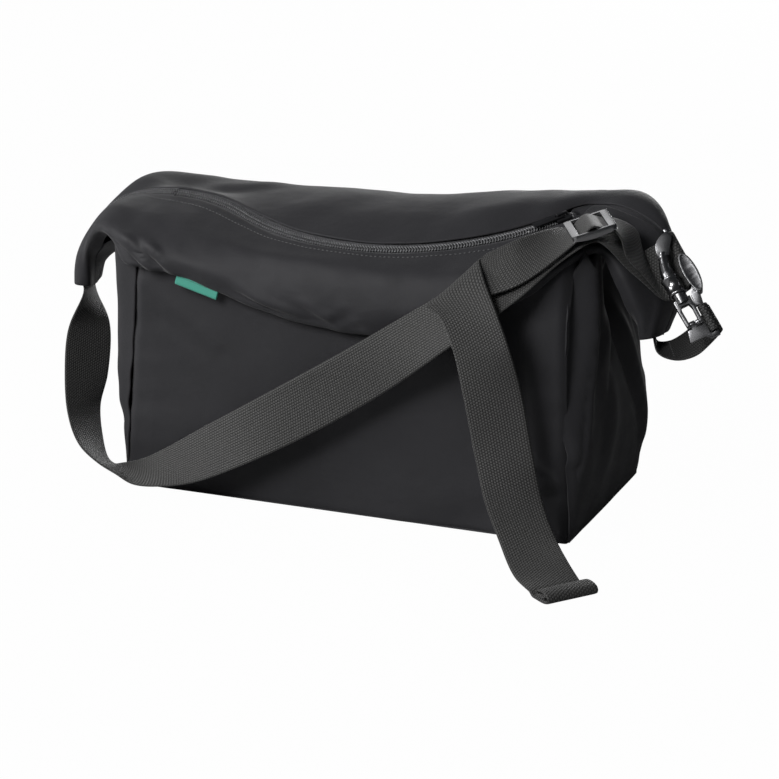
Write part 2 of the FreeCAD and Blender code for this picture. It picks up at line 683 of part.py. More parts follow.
def build_adjuster():
    """Three-bar slide that the webbing threads through."""
    body = new_body("adjuster_frame")
    body.Placement = adjuster_frame
    outline = new_sketch(body, "XY_Plane", "adjuster_outline")
    wide = "Sizes.strap_width + 2 * Sizes.adjuster_slack + 2 * Sizes.adjuster_rail"
    draw_rectangle(outline, "Sizes.adjuster_length", wide)
    plate = pad(body, outline, "Sizes.adjuster_plate", midplane=True)
    round_edges(body, plate, "Sizes.adjuster_corner", upright)
    window_length = ("(Sizes.adjuster_length - 2 * Sizes.adjuster_bar"
                     " - Sizes.adjuster_centre_bar) / 2")
    window_place = "(Sizes.adjuster_centre_bar + %s) / 2" % window_length
    for k, sign in enumerate(("", "-")):
        hole = new_sketch(body, "XY_Plane", "adjuster_window%d" % k, shift=sign + window_place)
        draw_rectangle(hole, window_length, "Sizes.strap_width + 2 * Sizes.adjuster_slack")
        pocket(body, hole, "4 * Sizes.adjuster_plate")
    for k, sign in enumerate(("", "-")):
        rail = new_sketch(body, "XZ_Plane", "adjuster_rail%d" % k)
        half = size("adjuster_length") / 2
        top = size("adjuster_plate") / 2
        sag = size("adjuster_rail_depth") - 2 * top
        radius = (half * half + sag * sag) / (2 * sag)
        spread = math.asin(half / radius)
        bow = Part.Circle(Vector(0, radius - sag - top, 0), Vector(0, 0, 1), radius)
        down = 1.5 * math.pi
        rail.addGeometry(Part.ArcOfCircle(bow, down - spread, down + spread), False)
        rail.addGeometry(Part.LineSegment(Vector(half, -top, 0), Vector(-half, -top, 0)), False)
        rail.addConstraint(Sketcher.Constraint("Coincident", 0, 2, 1, 1))
        rail.addConstraint(Sketcher.Constraint("Coincident", 0, 1, 1, 2))
        rail.addConstraint(Sketcher.Constraint("Symmetric", 1, 1, 1, 2, -2))
        bounds = [(("DistanceX", 1, 2, 1, 1, 2 * half), "Sizes.adjuster_length"),
                  (("DistanceY", 1, 1, -1, 1, top), "Sizes.adjuster_plate / 2"),
                  (("Radius", 0, radius),
                   "((Sizes.adjuster_length / 2) ^ 2 + (Sizes.adjuster_rail_depth"
                   " - Sizes.adjuster_plate) ^ 2) / (2 * (Sizes.adjuster_rail_depth"
                   " - Sizes.adjuster_plate))")]
        for constraint, expression in bounds:
            index = rail.addConstraint(Sketcher.Constraint(*constraint))
            rail.setExpression("Constraints[%d]" % index, expression)
        edge = "Sizes.strap_width / 2 + Sizes.adjuster_slack"
        rail.setExpression("AttachmentOffset.Base.z", sign + "(" + edge + ")")
        pad(body, rail, "Sizes.adjuster_rail", backwards=bool(sign))


build_adjuster()


def draw_oval(sketch, long_half, short_half):
    """Ellipse about the sketch's origin, its long axis upright, bound to two expressions."""
    centre = Vector(0, 0, 0)
    oval = sketch.addGeometry(Part.Ellipse(Vector(0, long_half[0], 0),
                                           Vector(-short_half[0], 0, 0), centre), False)
    sketch.exposeInternalGeometry(oval)
    sketch.addConstraint(Sketcher.Constraint("Coincident", oval, 3, -1, 1))
    major, minor = oval + 1, oval + 2
    sketch.addConstraint(Sketcher.Constraint("Vertical", major))
    for line, half in ((major, long_half), (minor, short_half)):
        kind = "DistanceY" if line == major else "DistanceX"
        ends = (2, 1) if line == major else (1, 2)
        points = sketch.getPoint(line, ends[0]), sketch.getPoint(line, ends[1])
        along = (points[1] - points[0]).y if line == major else (points[1] - points[0]).x
        if along < 0:
            ends = ends[::-1]
        index = sketch.addConstraint(Sketcher.Constraint(kind, line, ends[0], line, ends[1],
                                                         2 * half[0]))
        sketch.setExpression("Constraints[%d]" % index, "2 * (%s)" % half[1])


def build_hook_frame():
    """Fixed half of the hook: peg, guard plate, webbing slot, nose and pivot knuckle."""
    body = new_body("hook_frame")
    body.Placement = hook_place
    half_bar = (0.5, "frame_bar")
    rail_left = at((1, "rail_side"), (-0.5, "frame_bar"))
    rail_right = at((1, "rail_side"), (0.5, "frame_bar"))
    prong_side = at((0.5, "fork_gap"), (1, "prong_width"), (2, "fit_gap"))
    foot = at((1, "slot_top"), (-1, "slot_length"), (-1, "frame_foot"))
    nose_top = at((-1, "nose_shoulder"))
    spine = new_sketch(body, "XY_Plane", "frame_outline")
    draw_outline(spine, [
        (at((1, "hook_side"), (-1, "peg_radius")), at((1, "spine_top"))),
        (at((1, "hook_side"), (1, "peg_radius")), at((1, "spine_top"))),
        (at((1, "rail_side"), half_bar, (0.6, "frame_bar")), at((1, "fork_height"))),
        (rail_right, at((1, "slot_top"))), (rail_right, foot),
        (at((1, "rail_side"), (-1.6, "frame_bar")), foot),
        (at(2.0), at((-1, "nose_depth"))),
        (at((-1, "nose_reach")), at((-1, "nose_depth"))),
        (at((-0.74, "nose_reach")), nose_top), (prong_side, nose_top),
        (prong_side, at(0.0)),
        (at((0.5, "fork_gap"), (1, "prong_width"), (2, "fork_spread"), (1, "fit_gap")),
         at((1, "fork_crotch"))),
        (at((1, "sleeve_radius"), (1, "frame_bar"), (-1, "prong_width")), at((1, "fork_height"))),
    ])
    pad(body, spine, "Sizes.frame_thickness", midplane=True)
    slot = new_sketch(body, "XY_Plane", "webbing_slot",
                      shift="Sizes.rail_side - (Sizes.frame_bar + Sizes.slot_width) / 2",
                      rise="Sizes.slot_top - Sizes.slot_length / 2")
    draw_rectangle(slot, "Sizes.slot_width", "Sizes.slot_length")
    pocket(body, slot, "2 * Sizes.frame_thickness")
    peg = new_sketch(body, "XZ_Plane", "peg_circle", lift="-Sizes.peg_start",
                     shift="Sizes.hook_side")
    draw_circle(peg, "Sizes.peg_radius")
    pad(body, peg, "Sizes.peg_length", backwards=True)
    guard_at = {"shift": "Sizes.hook_side", "rise": "Sizes.guard_height"}
    guard = new_sketch(body, "XY_Plane", "guard_oval", lift="Sizes.guard_level", **guard_at)
    draw_oval(guard, at((0.5, "guard_length")), at((0.5, "guard_width")))
    post = new_sketch(body, "XY_Plane", "guard_post_circle", shift="Sizes.hook_side",
                      rise="Sizes.fork_height")
    draw_circle(post, "Sizes.guard_post")
    pad(body, post, "Sizes.guard_level + Sizes.guard_thickness / 2")
    pad(body, guard, "Sizes.guard_thickness")
    dish = new_sketch(body, "XY_Plane", "guard_dish_oval",
                      lift="Sizes.guard_level + Sizes.guard_thickness", **guard_at)
    draw_oval(dish, at((0.5, "guard_length"), (-1, "guard_rim")),
              at((0.5, "guard_width"), (-1, "guard_rim")))
    pocket(body, dish, "Sizes.guard_dish", midplane=False)
    knuckle_shift = "(Sizes.knuckle_width - Sizes.fork_gap) / 2 + Sizes.fit_clearance"
    knuckle = new_sketch(body, "YZ_Plane", "knuckle_circle", lift=knuckle_shift)
    draw_circle(knuckle, "Sizes.knuckle_radius")
    pad(body, knuckle, "Sizes.knuckle_width", midplane=True)
    web = new_sketch(body, "YZ_Plane", "knuckle_web", lift=knuckle_shift,
                     shift="-Sizes.nose_shoulder / 2 - 0.5")
    draw_rectangle(web, "Sizes.nose_shoulder + 1", "Sizes.frame_thickness")
    pad(body, web, "Sizes.knuckle_width", midplane=True)
    bore = new_sketch(body, "YZ_Plane", "pivot_bore")
    draw_circle(bore, "Sizes.pivot_radius")
    pocket(body, bore, "2 * Sizes.fork_gap")


def build_hook_arm():
    """Moving half: fork on the pivot, round shank, neck and curved thumb tab."""
    body = new_body("hook_arm")
    body.Placement = hook_place
    low = at((-1, "knuckle_radius"))
    inner = at((0.5, "fork_gap"))
    outer = at((0.5, "fork_gap"), (1, "prong_width"))
    wide = at((0.5, "fork_gap"), (1, "prong_width"), (1, "fork_spread"))
    wide_in = at((0.5, "fork_gap"), (0.8, "fork_spread"))
    elbow = at((1, "fork_crotch"), -3.0)
    crotch = at((1, "fork_crotch"))
    top = at((1, "fork_height"))
    shoulder = at((1, "shank_radius"), 1.2)
    right = [(outer, low), (wide, elbow), (shoulder, top)]
    inside = [(at((0.4, "fork_gap")), crotch), (wide_in, elbow), (inner, low)]
    fork = new_sketch(body, "XY_Plane", "fork_outline")
    draw_outline(fork, right[:1] + right[1:] + mirrored(right)[::-1]
                 + mirrored(inside)[::-1] + inside)
    prongs = pad(body, fork, "2 * Sizes.knuckle_radius", midplane=True)
    round_edges(body, prongs, "Sizes.knuckle_radius - Sizes.fit_clearance", at_prong_end)
    shank = new_sketch(body, "XZ_Plane", "shank_circle", lift="-Sizes.fork_crotch - 2")
    draw_circle(shank, "Sizes.shank_radius")
    pad(body, shank, "Sizes.shank_top - Sizes.fork_crotch - 2", backwards=True)
    bore = new_sketch(body, "YZ_Plane", "arm_bore")
    draw_circle(bore, "Sizes.pivot_radius + Sizes.fit_clearance")
    pocket(body, bore, "4 * Sizes.fork_gap")
    sections = []
    for k, (share, side) in enumerate(((0.0, 0.0), (0.5, 0.2), (1.0, 0.55))):
        ring = new_sketch(body, "XZ_Plane", "neck_ring%d" % k,
                          lift="-(Sizes.shank_top + %s * Sizes.neck_length)" % share,
                          shift="%s * Sizes.shank_radius" % side,
                          rise="%s * (Sizes.tab_level + 0.4)" % share)
        draw_circle(ring, "Sizes.shank_radius - %s * (Sizes.shank_radius - Sizes.neck_radius)"
                    % max(share, 0.05))
        sections.append(ring)
    neck = body.newObject("PartDesign::AdditiveLoft", "neck")
    neck.Profile = sections[0]
    neck.Sections = sections[1:]
    neck.Ruled = True
    root = at((1, "shank_top"), (0.75, "neck_length"))
    tab = new_sketch(body, "XY_Plane", "thumb_tab", lift="Sizes.tab_level")
    draw_outline(tab, [
        (at(-1.7), root), (at(-0.4), at((1, "tab_top"), -9.5)),
        (at(0.8), at((1, "tab_top"), -6.2)), (at(3.3), at((1, "tab_top"), -3.6)),
        (at(7.2), at((1, "tab_top"), -1.3)), (at(11.0), at((1, "tab_top"))),
        (at((1, "hook_side"), -0.4), at((1, "tab_top"), -0.9)),
        (at((1, "hook_side"), 0.6), at((1, "tab_top"), -3.2)),
        (at((1, "hook_side"), -0.2), at((1, "tab_top"), -5.8)),
        (at(11.4), at((1, "tab_top"), -8.6)), (at(8.8), at((1, "tab_top"), -12.0)),
        (at(6.6), root),
    ])
    pad(body, tab, "Sizes.tab_thickness")


def mirrored(points):
    """The same points on the other side of the sketch's upright axis."""
    return [((-x[0], "-(%s)" % x[1]), y) for x, y in points]


def at_prong_end(edge):
    """True for the lower edges of the prongs that run along the pivot."""
    a, b = edge.Vertexes[0].Point, edge.Vertexes[-1].Point
    low = -size("knuckle_radius") + 0.01
    return a.y < low and b.y < low and abs(a.x - b.x) > 1


def build_lock_sleeve():
    """Ribbed sleeve that slides on the shank."""
    body = new_body("lock_sleeve")
    body.Placement = hook_place
    half = new_sketch(body, "XY_Plane", "sleeve_section")
    bore = at((1, "shank_radius"), (1, "fit_clearance"))
    skin = at((1, "sleeve_radius"))
    waist = at((1, "sleeve_radius"), (-1, "sleeve_groove"))
    low = (1, "sleeve_rest")
    high = (1, "sleeve_length")
    band = "sleeve_band"
    ease = "sleeve_groove"
    draw_outline(half, [
        (bore, at(low)), (waist, at(low)), (skin, at(low, (0.5, ease))),
        (skin, at(low, (1, band))), (waist, at(low, (1, band), (0.5, ease))),
        (waist, at(low, high, (-1, band), (-0.5, ease))), (skin, at(low, high, (-1, band))),
        (skin, at(low, high, (-0.5, ease))), (waist, at(low, high)), (bore, at(low, high)),
    ])
    revolve(body, half, "V_Axis")


def revolve(body, section, axis):
    """Full turn of a section about one of its own axes."""
    turn = body.newObject("PartDesign::Revolution", section.Name + "_turn")
    turn.Profile = section
    turn.ReferenceAxis = (section, [axis])
    turn.Angle = 360
    section.Visibility = False


def build_pivot():
    """Pivot pin through fork and knuckle, and the gate spring beside the knuckle."""
    body = new_body("hook_pin")
    body.Placement = hook_place
    circle = new_sketch(body, "YZ_Plane", "pin_circle")
    draw_circle(circle, "Sizes.pivot_radius")
    pad(body, circle, "Sizes.fork_gap + 2 * Sizes.prong_width", midplane=True)

    body = new_body("gate_spring")
    body.Placement = hook_place
    half = new_sketch(body, "XY_Plane", "spring_section")
    room = size("fork_gap") - size("knuckle_width") - 3 * size("fit_clearance")
    turns = max(int(room / (2 * size("spring_wire"))), 1)
    side = ((0.5, "fork_gap"), (-1, "fit_clearance"))
    bore = ((1, "pivot_radius"), (1, "fit_clearance"))
    points = [(at(*side), at(*bore))]
    for k in range(turns):
        for steps, reach in ((2 * k, 1.1), (2 * k + 1, 1.6)):
            points.append((at(*side, (-steps, "spring_wire")), at(*bore, (reach, "spring_wire"))))
    end = at(*side, (-2 * turns, "spring_wire"))
    points += [(end, at(*bore, (1.1, "spring_wire"))), (end, at(*bore))]
    draw_outline(half, points)
    revolve(body, half, "H_Axis")


build_hook_frame()
build_hook_arm()
build_lock_sleeve()
build_pivot()

# -------------------------------------------------------------- zipper slider

slider_turn = math.radians(size("slider_turn"))
slider_point = Vector(zip_radius * math.sin(slider_turn), -zip_radius * math.cos(slider_turn), 0)
slider_place = zip_frame.multiply(Placement(slider_point, Rotation(Vector(0, 0, 1),
                                                                   size("slider_turn"))))
CHAIN_TOP = "(Sizes.tape_thickness + Sizes.coil_height + Sizes.running_clearance)"


def build_slider():
    """Slider that straddles the coils: two plates, flanges, neck and bridge."""
    body = new_body("zipper_slider")
    body.Placement = slider_place
    top = new_sketch(body, "XY_Plane", "slider_top", lift=CHAIN_TOP)
    draw_rectangle(top, "Sizes.slider_length", "Sizes.slider_width")
    pad(body, top, "Sizes.slider_plate")
    neck = new_sketch(body, "XY_Plane", "slider_neck_outline",
                      lift="-Sizes.running_clearance - Sizes.slider_plate",
                      shift="0.32 * Sizes.slider_length")
    draw_rectangle(neck, "0.3 * Sizes.slider_length", "Sizes.slider_neck")
    pad(body, neck, CHAIN_TOP + " + Sizes.running_clearance + 2 * Sizes.slider_plate")
    foot = new_sketch(body, "XY_Plane", "slider_foot", lift="-Sizes.running_clearance")
    draw_rectangle(foot, "Sizes.slider_length", "Sizes.slider_width")
    pad(body, foot, "Sizes.slider_plate", backwards=True)
    flange = ("(Sizes.slider_width / 2 - Sizes.zip_gap / 2 - Sizes.coil_width"
              " - Sizes.running_clearance)")
    for k, sign in enumerate(("", "-")):
        wall = new_sketch(body, "XY_Plane", "slider_flange%d" % k,
                          lift="Sizes.tape_thickness + Sizes.running_clearance",
                          rise="%s(Sizes.slider_width - %s) / 2" % (sign, flange))
        draw_rectangle(wall, "Sizes.slider_length", flange)
        pad(body, wall, "Sizes.coil_height + Sizes.slider_plate / 2")
    bridge_low = CHAIN_TOP + " + Sizes.slider_plate"
    bridge = new_sketch(body, "XZ_Plane", "slider_bridge",
                        rise=bridge_low + " + Sizes.bridge_height / 2 - 0.1")
    draw_rectangle(bridge, "Sizes.bridge_length", "Sizes.bridge_height + 0.2")
    pad(body, bridge, "Sizes.bridge_width", midplane=True)
    eye = new_sketch(body, "XZ_Plane", "bridge_eye",
                     rise=bridge_low + " + (Sizes.bridge_height - Sizes.bridge_bar) / 2")
    draw_rectangle(eye, "Sizes.bridge_length - 2 * Sizes.bridge_bar",
                   "Sizes.bridge_height - Sizes.bridge_bar")
    pocket(body, eye, "2 * Sizes.bridge_width")


def build_pull():
    """Pull tab hung in the slider's bridge."""
    body = new_body("zipper_pull")
    body.Placement = slider_place
    level = (CHAIN_TOP + " + Sizes.slider_plate"
             " + (Sizes.bridge_height - Sizes.bridge_bar - Sizes.pull_thickness) / 2")
    blade = new_sketch(body, "XY_Plane", "pull_blade", lift=level,
                       shift="-Sizes.pull_length / 2")
    draw_rectangle(blade, "Sizes.pull_length", "Sizes.pull_width")
    pad(body, blade, "Sizes.pull_thickness")
    bar = new_sketch(body, "XZ_Plane", "pull_bar", rise=level + " + Sizes.pull_thickness / 2")
    draw_circle(bar, "Sizes.pull_thickness / 2")
    pad(body, bar, "Sizes.pull_width", midplane=True)
    eye = new_sketch(body, "XY_Plane", "pull_eye", lift=level + " + Sizes.pull_thickness / 2",
                     shift="-(Sizes.pull_window + Sizes.pull_thickness) / 2")
    draw_rectangle(eye, "Sizes.pull_window", "Sizes.bridge_width + 2 * Sizes.running_clearance")
    pocket(body, eye, "4 * Sizes.pull_thickness")


def build_stops():
    """Metal stop across the tapes at each end of the coils."""
    half_stop = size("stop_length") / 2
    both = zip_radius + zip_left_radius
    angle = math.radians(size("zip_right_turn")) + (half_stop + size("fit_clearance")) / zip_radius
    right = Vector(zip_radius * math.sin(angle), -zip_radius * math.cos(angle), 0)
    left = Vector(-both * math.sin(zip_turn) - half_stop - size("fit_clearance"),
                  zip_left_radius - both * math.cos(zip_turn), 0)
    for name, spot, turn in (("zipper_stop_left", left, 0.0),
                             ("zipper_stop_right", right, math.degrees(angle))):
        body = new_body(name)
        body.Placement = zip_frame.multiply(Placement(spot, Rotation(Vector(0, 0, 1), turn)))
        block = new_sketch(body, "XY_Plane", name + "_outline")
        draw_rectangle(block, "Sizes.stop_length", "Sizes.stop_width")
        pad(body, block, "Sizes.tape_thickness + Sizes.coil_height")


build_slider()
build_pull()
build_stops()

# ----------------------------------------- webbing at the adjuster and the hook


def adjuster_wave():
    """Upper layer through the adjuster: under the end bars and over the middle one."""
    reach = (size("adjuster_length") - size("adjuster_bar")) / 2
    hump = size("adjuster_hump")
    stations = []
    for k in range(-4, 5):
        along = reach * k / 4
        height = hump * math.cos(math.pi * along / reach)
        centre = adjuster_frame.multVec(Vector(along, 0, height))
        across = adjuster_frame.Rotation.multVec(Vector(0, -1, 0))
        stations.append((centre, across, 1))
    return stations


def on_hook(x, y, z):
    """Point given in the hook's own frame."""
    return hook_place.multVec(Vector(x, y, z))


def hook_loop():
    """Stations of the webbing round the peg, between its two layers behind the arm."""
    side = size("hook_side")
    inner = size("peg_radius") + size("fit_gap") / 2 + webbing / 2
    behind = -(size("sleeve_radius") + size("fit_gap") + webbing / 2)
    below = behind - webbing - size("fit_gap")
    middle = size("spine_top") + size("fit_gap") + strap_width / 2
    across = hook_place.Rotation.multVec(Vector(0, -1, 0))
    near = [(-7.0, behind), (-1.0, behind), (0.37 * side, behind + 1.4),
            (side - 1.4 * inner, -inner)]
    bend = []
    for degrees in (180, 135, 90, 45, 0, -45):
        angle = math.radians(degrees)
        bend.append((side + inner * math.cos(angle), inner * math.sin(angle)))
    far = [(side - 0.1 * inner, -1.5 * inner), (0.63 * side, below + 1.3), (3.0, below),
           (-7.0, below)]
    return [(on_hook(x, middle, z), across, 1) for x, z in near + bend + far]


ANCHOR = [
    ((209, -20, 141), (0.3, -0.95, 0), 0.95), ((213, -24, 133), (0.35, -0.93, -0.1), 1),
    ((226, -31, 133.5), (0.45, -0.83, -0.3), 1), ((240.5, -37.5, 142), (0.5, -0.7, -0.5), 1),
    ((250.5, -41.5, 152.5), (0.5, -0.6, -0.6), 0.95),
]


def anchor_loop():
    """Stations of the anchor webbing: up from the bag and round the hook's rail."""
    rail = size("rail_side")
    inner = math.hypot(size("frame_bar"), size("frame_thickness")) / 2 + size("fit_gap") + webbing / 2
    middle = size("slot_top") - size("slot_length") / 2
    across = hook_place.Rotation.multVec(Vector(0, -1, 0))
    share = (size("slot_length") - 4 * size("fit_gap")) / size("anchor_width")
    turns = [(inner * 1.5, -inner * 1.9)]
    for degrees in (-20, 25, 70, 115, 160, 205, 250):
        angle = math.radians(degrees)
        turns.append((inner * math.cos(angle), inner * math.sin(angle)))
    return [(on_hook(rail + x, middle, z), across, share) for x, z in turns]


def build_strap():
    """The shoulder strap, one length of webbing, in pieces that meet end to end."""
    loop = hook_loop()
    threaded = UPPER_RUN + adjuster_wave()[::-1] + TAIL_HEAD
    lengths = [("strap_left_loop", LEFT_LOOP), ("strap_front_run", FRONT_RUN),
               ("strap_under_run", UNDER_RUN + loop[-1:]),
               ("strap_hook_loop", loop[-2::-1]),
               ("strap_threaded_run", threaded), ("strap_tail", TAIL)]
    stations = [station for name, length in lengths for station in length]
    net = refined(ribbon_net(stations, strap_width), STEPS, 1)
    normals = net_normals(net)
    start = 0
    stop = -1
    for name, length in lengths:
        stop += len(length)
        rows = slice(start * STEPS, stop * STEPS + 1)
        add_solid(name, sheet_solid(net[rows], webbing, normals=normals[rows]))
        start = stop


build_strap()
net = ribbon_net(ANCHOR + anchor_loop(), size("anchor_width"))
add_solid("anchor_webbing", sheet_solid(refined(net, STEPS, 1), webbing))


def build_label():
    """Folded fabric tab that hangs from under the lip."""
    body = new_body("side_label")
    run = Vector(34, 0, -9)
    place = Vector(-104, 0, 162)
    place.y = wall_front - size("yoke_overhang") + yoke / 2 + size("fit_gap")
    body.Placement = frame_of(place, run, (9, 0, 34))
    face = new_sketch(body, "XY_Plane", "label_outline",
                      rise="(Sizes.label_tuck - Sizes.label_drop) / 2")
    draw_rectangle(face, "Sizes.label_length", "Sizes.label_drop + Sizes.label_tuck")
    pad(body, face, "Sizes.label_thickness", backwards=True)


build_label()

# --------------------------------------------------------------------- output

doc.recompute()
broken = [item.Name for item in doc.Objects if {"Invalid", "Error"} & set(item.State)]
pieces = [item for item in doc.Objects if item.TypeId in ("PartDesign::Body", "Part::Feature")]
broken += [piece.Label for piece in pieces if piece.Shape.isNull() or not piece.Shape.isValid()]
if broken:
    raise RuntimeError("These objects failed: " + ", ".join(broken))

os.makedirs("parts", exist_ok=True)
for piece in pieces:
    piece.Shape.exportStep("parts/" + piece.Label + ".step")
print(len(pieces), "pieces written")
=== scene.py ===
"""Looks of the messenger bag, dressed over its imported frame.

Metres in the row frame: +X along the bag, -Y out of its front, +Z up.  Lists of
shaping points are in millimetres and pass through MM.
"""

import json
import math

import bpy
import numpy as np
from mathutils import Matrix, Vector


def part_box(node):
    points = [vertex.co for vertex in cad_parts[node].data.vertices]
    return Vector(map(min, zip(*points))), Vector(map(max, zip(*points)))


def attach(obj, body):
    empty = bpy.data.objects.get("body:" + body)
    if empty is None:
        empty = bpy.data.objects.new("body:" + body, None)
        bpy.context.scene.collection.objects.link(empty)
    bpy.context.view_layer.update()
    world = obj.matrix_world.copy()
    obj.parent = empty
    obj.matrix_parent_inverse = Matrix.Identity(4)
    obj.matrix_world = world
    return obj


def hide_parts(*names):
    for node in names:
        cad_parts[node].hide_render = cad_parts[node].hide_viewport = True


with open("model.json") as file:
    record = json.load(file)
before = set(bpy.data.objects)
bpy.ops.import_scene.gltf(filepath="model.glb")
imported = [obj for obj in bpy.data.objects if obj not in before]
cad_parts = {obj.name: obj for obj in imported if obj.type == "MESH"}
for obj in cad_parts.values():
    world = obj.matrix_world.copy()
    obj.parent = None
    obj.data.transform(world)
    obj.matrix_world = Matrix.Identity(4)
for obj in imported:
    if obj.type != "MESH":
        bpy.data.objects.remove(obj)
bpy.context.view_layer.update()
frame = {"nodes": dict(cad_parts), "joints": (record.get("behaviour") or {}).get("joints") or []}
nodes = frame["nodes"]
joints = {joint["name"]: joint for joint in frame["joints"]}
MM = 0.001

# ---- camera and light ----

AZIMUTH, ELEVATION = math.radians(22.0), math.radians(17.8)
AIM = Vector((0.0056, 0.0, 0.0699))
DISTANCE = 2.032
LENS, SENSOR = 129.4, 36.0


def looking(name, data, place, target):
    """New object in the scene, at a place and turned to look at a point."""
    thing = bpy.data.objects.new(name, data)
    bpy.context.scene.collection.objects.link(thing)
    thing.location = place
    thing.rotation_mode = "QUATERNION"
    thing.rotation_quaternion = (Vector(target) - Vector(place)).to_track_quat("-Z", "Y")
    return thing


def make_camera():
    """Camera at the angle that the bag is seen from."""
    back = Vector((math.sin(AZIMUTH) * math.cos(ELEVATION),
                   -math.cos(AZIMUTH) * math.cos(ELEVATION), math.sin(ELEVATION)))
    camera = looking("main_camera", bpy.data.cameras.new("main_camera"), AIM + back * DISTANCE,
                     AIM)
    camera.data.lens = LENS
    camera.data.sensor_width = SENSOR
    bpy.context.scene.camera = camera


ROOM_COLOR, ROOM_LIGHT = (0.9, 0.95, 1.0, 1.0), 0.05
LAMPS_AIM = (0.0, 0.0, 0.1)
# name, place, size, power
LAMPS = [("key", (-0.7, -2.0, 1.6), 1.0, 47.0), ("side", (-2.3, -0.9, 1.2), 1.2, 42.0),
         ("fill", (0.1, -1.8, 2.2), 0.8, 2.5), ("back", (-0.25, 2.6, 0.6), 0.7, 22.0),
         ("gleam", (-1.22, 2.08, 0.8), 1.0, 3.2)]


def wire(tree, node, inputs):
    """Joins each input of a node, by name or number, to an output, or sets its value."""
    for key, value in inputs.items():
        if isinstance(value, bpy.types.NodeSocket):
            tree.links.new(value, node.inputs[key])
        else:
            node.inputs[key].default_value = value
    return node


def make_studio():
    """Soft lamps, mostly above and to the left, in a room that the camera sees as white."""
    world = bpy.data.worlds.new("studio")
    bpy.context.scene.world = world
    world.use_nodes = True
    tree = world.node_tree
    room = wire(tree, tree.nodes["Background"], {"Color": ROOM_COLOR, "Strength": ROOM_LIGHT})
    white = wire(tree, tree.nodes.new("ShaderNodeBackground"), {"Color": (1, 1, 1, 1)})
    rays = tree.nodes.new("ShaderNodeLightPath").outputs["Is Camera Ray"]
    choice = wire(tree, tree.nodes.new("ShaderNodeMixShader"),
                  {0: rays, 1: room.outputs[0], 2: white.outputs[0]})
    wire(tree, tree.nodes["World Output"], {0: choice.outputs[0]})
    for name, place, size, power in LAMPS:
        light = bpy.data.lights.new(name, "AREA")
        light.size = size
        light.energy = power
        looking(name, light, place, LAMPS_AIM).visible_camera = False
    bpy.context.scene.view_settings.view_transform = "Standard"


FLOOR, FLOOR_DROP = 6.0, 0.0004
FLOOR_GLOW = 0.985


def make_floor():
    """Pale floor that keeps a faint contact shadow."""
    graph = Graph("floor_white", (0.34, 0.34, 0.34), 0.9)
    glow = graph.add("Emission")
    blend = graph.mixed(FLOOR_GLOW, graph.shader.outputs[0], glow.outputs[0])
    rays = graph.add("LightPath").outputs["Is Camera Ray"]
    seen = graph.mixed(rays, graph.shader.outputs[0], blend)
    wire(graph.tree, graph.tree.nodes["Material Output"], {0: seen})
    corners = [(x * FLOOR, y * FLOOR, 0) for x, y in ((-1, -1), (1, -1), (1, 1), (-1, 1))]
    mesh = bpy.data.meshes.new("floor")
    mesh.from_pydata(corners, [], [(0, 1, 2, 3)])
    mesh.materials.append(graph.material)
    floor = bpy.data.objects.new("floor", mesh)
    floor.location.z = -FLOOR_DROP
    bpy.context.scene.collection.objects.link(floor)


# ---- materials ----


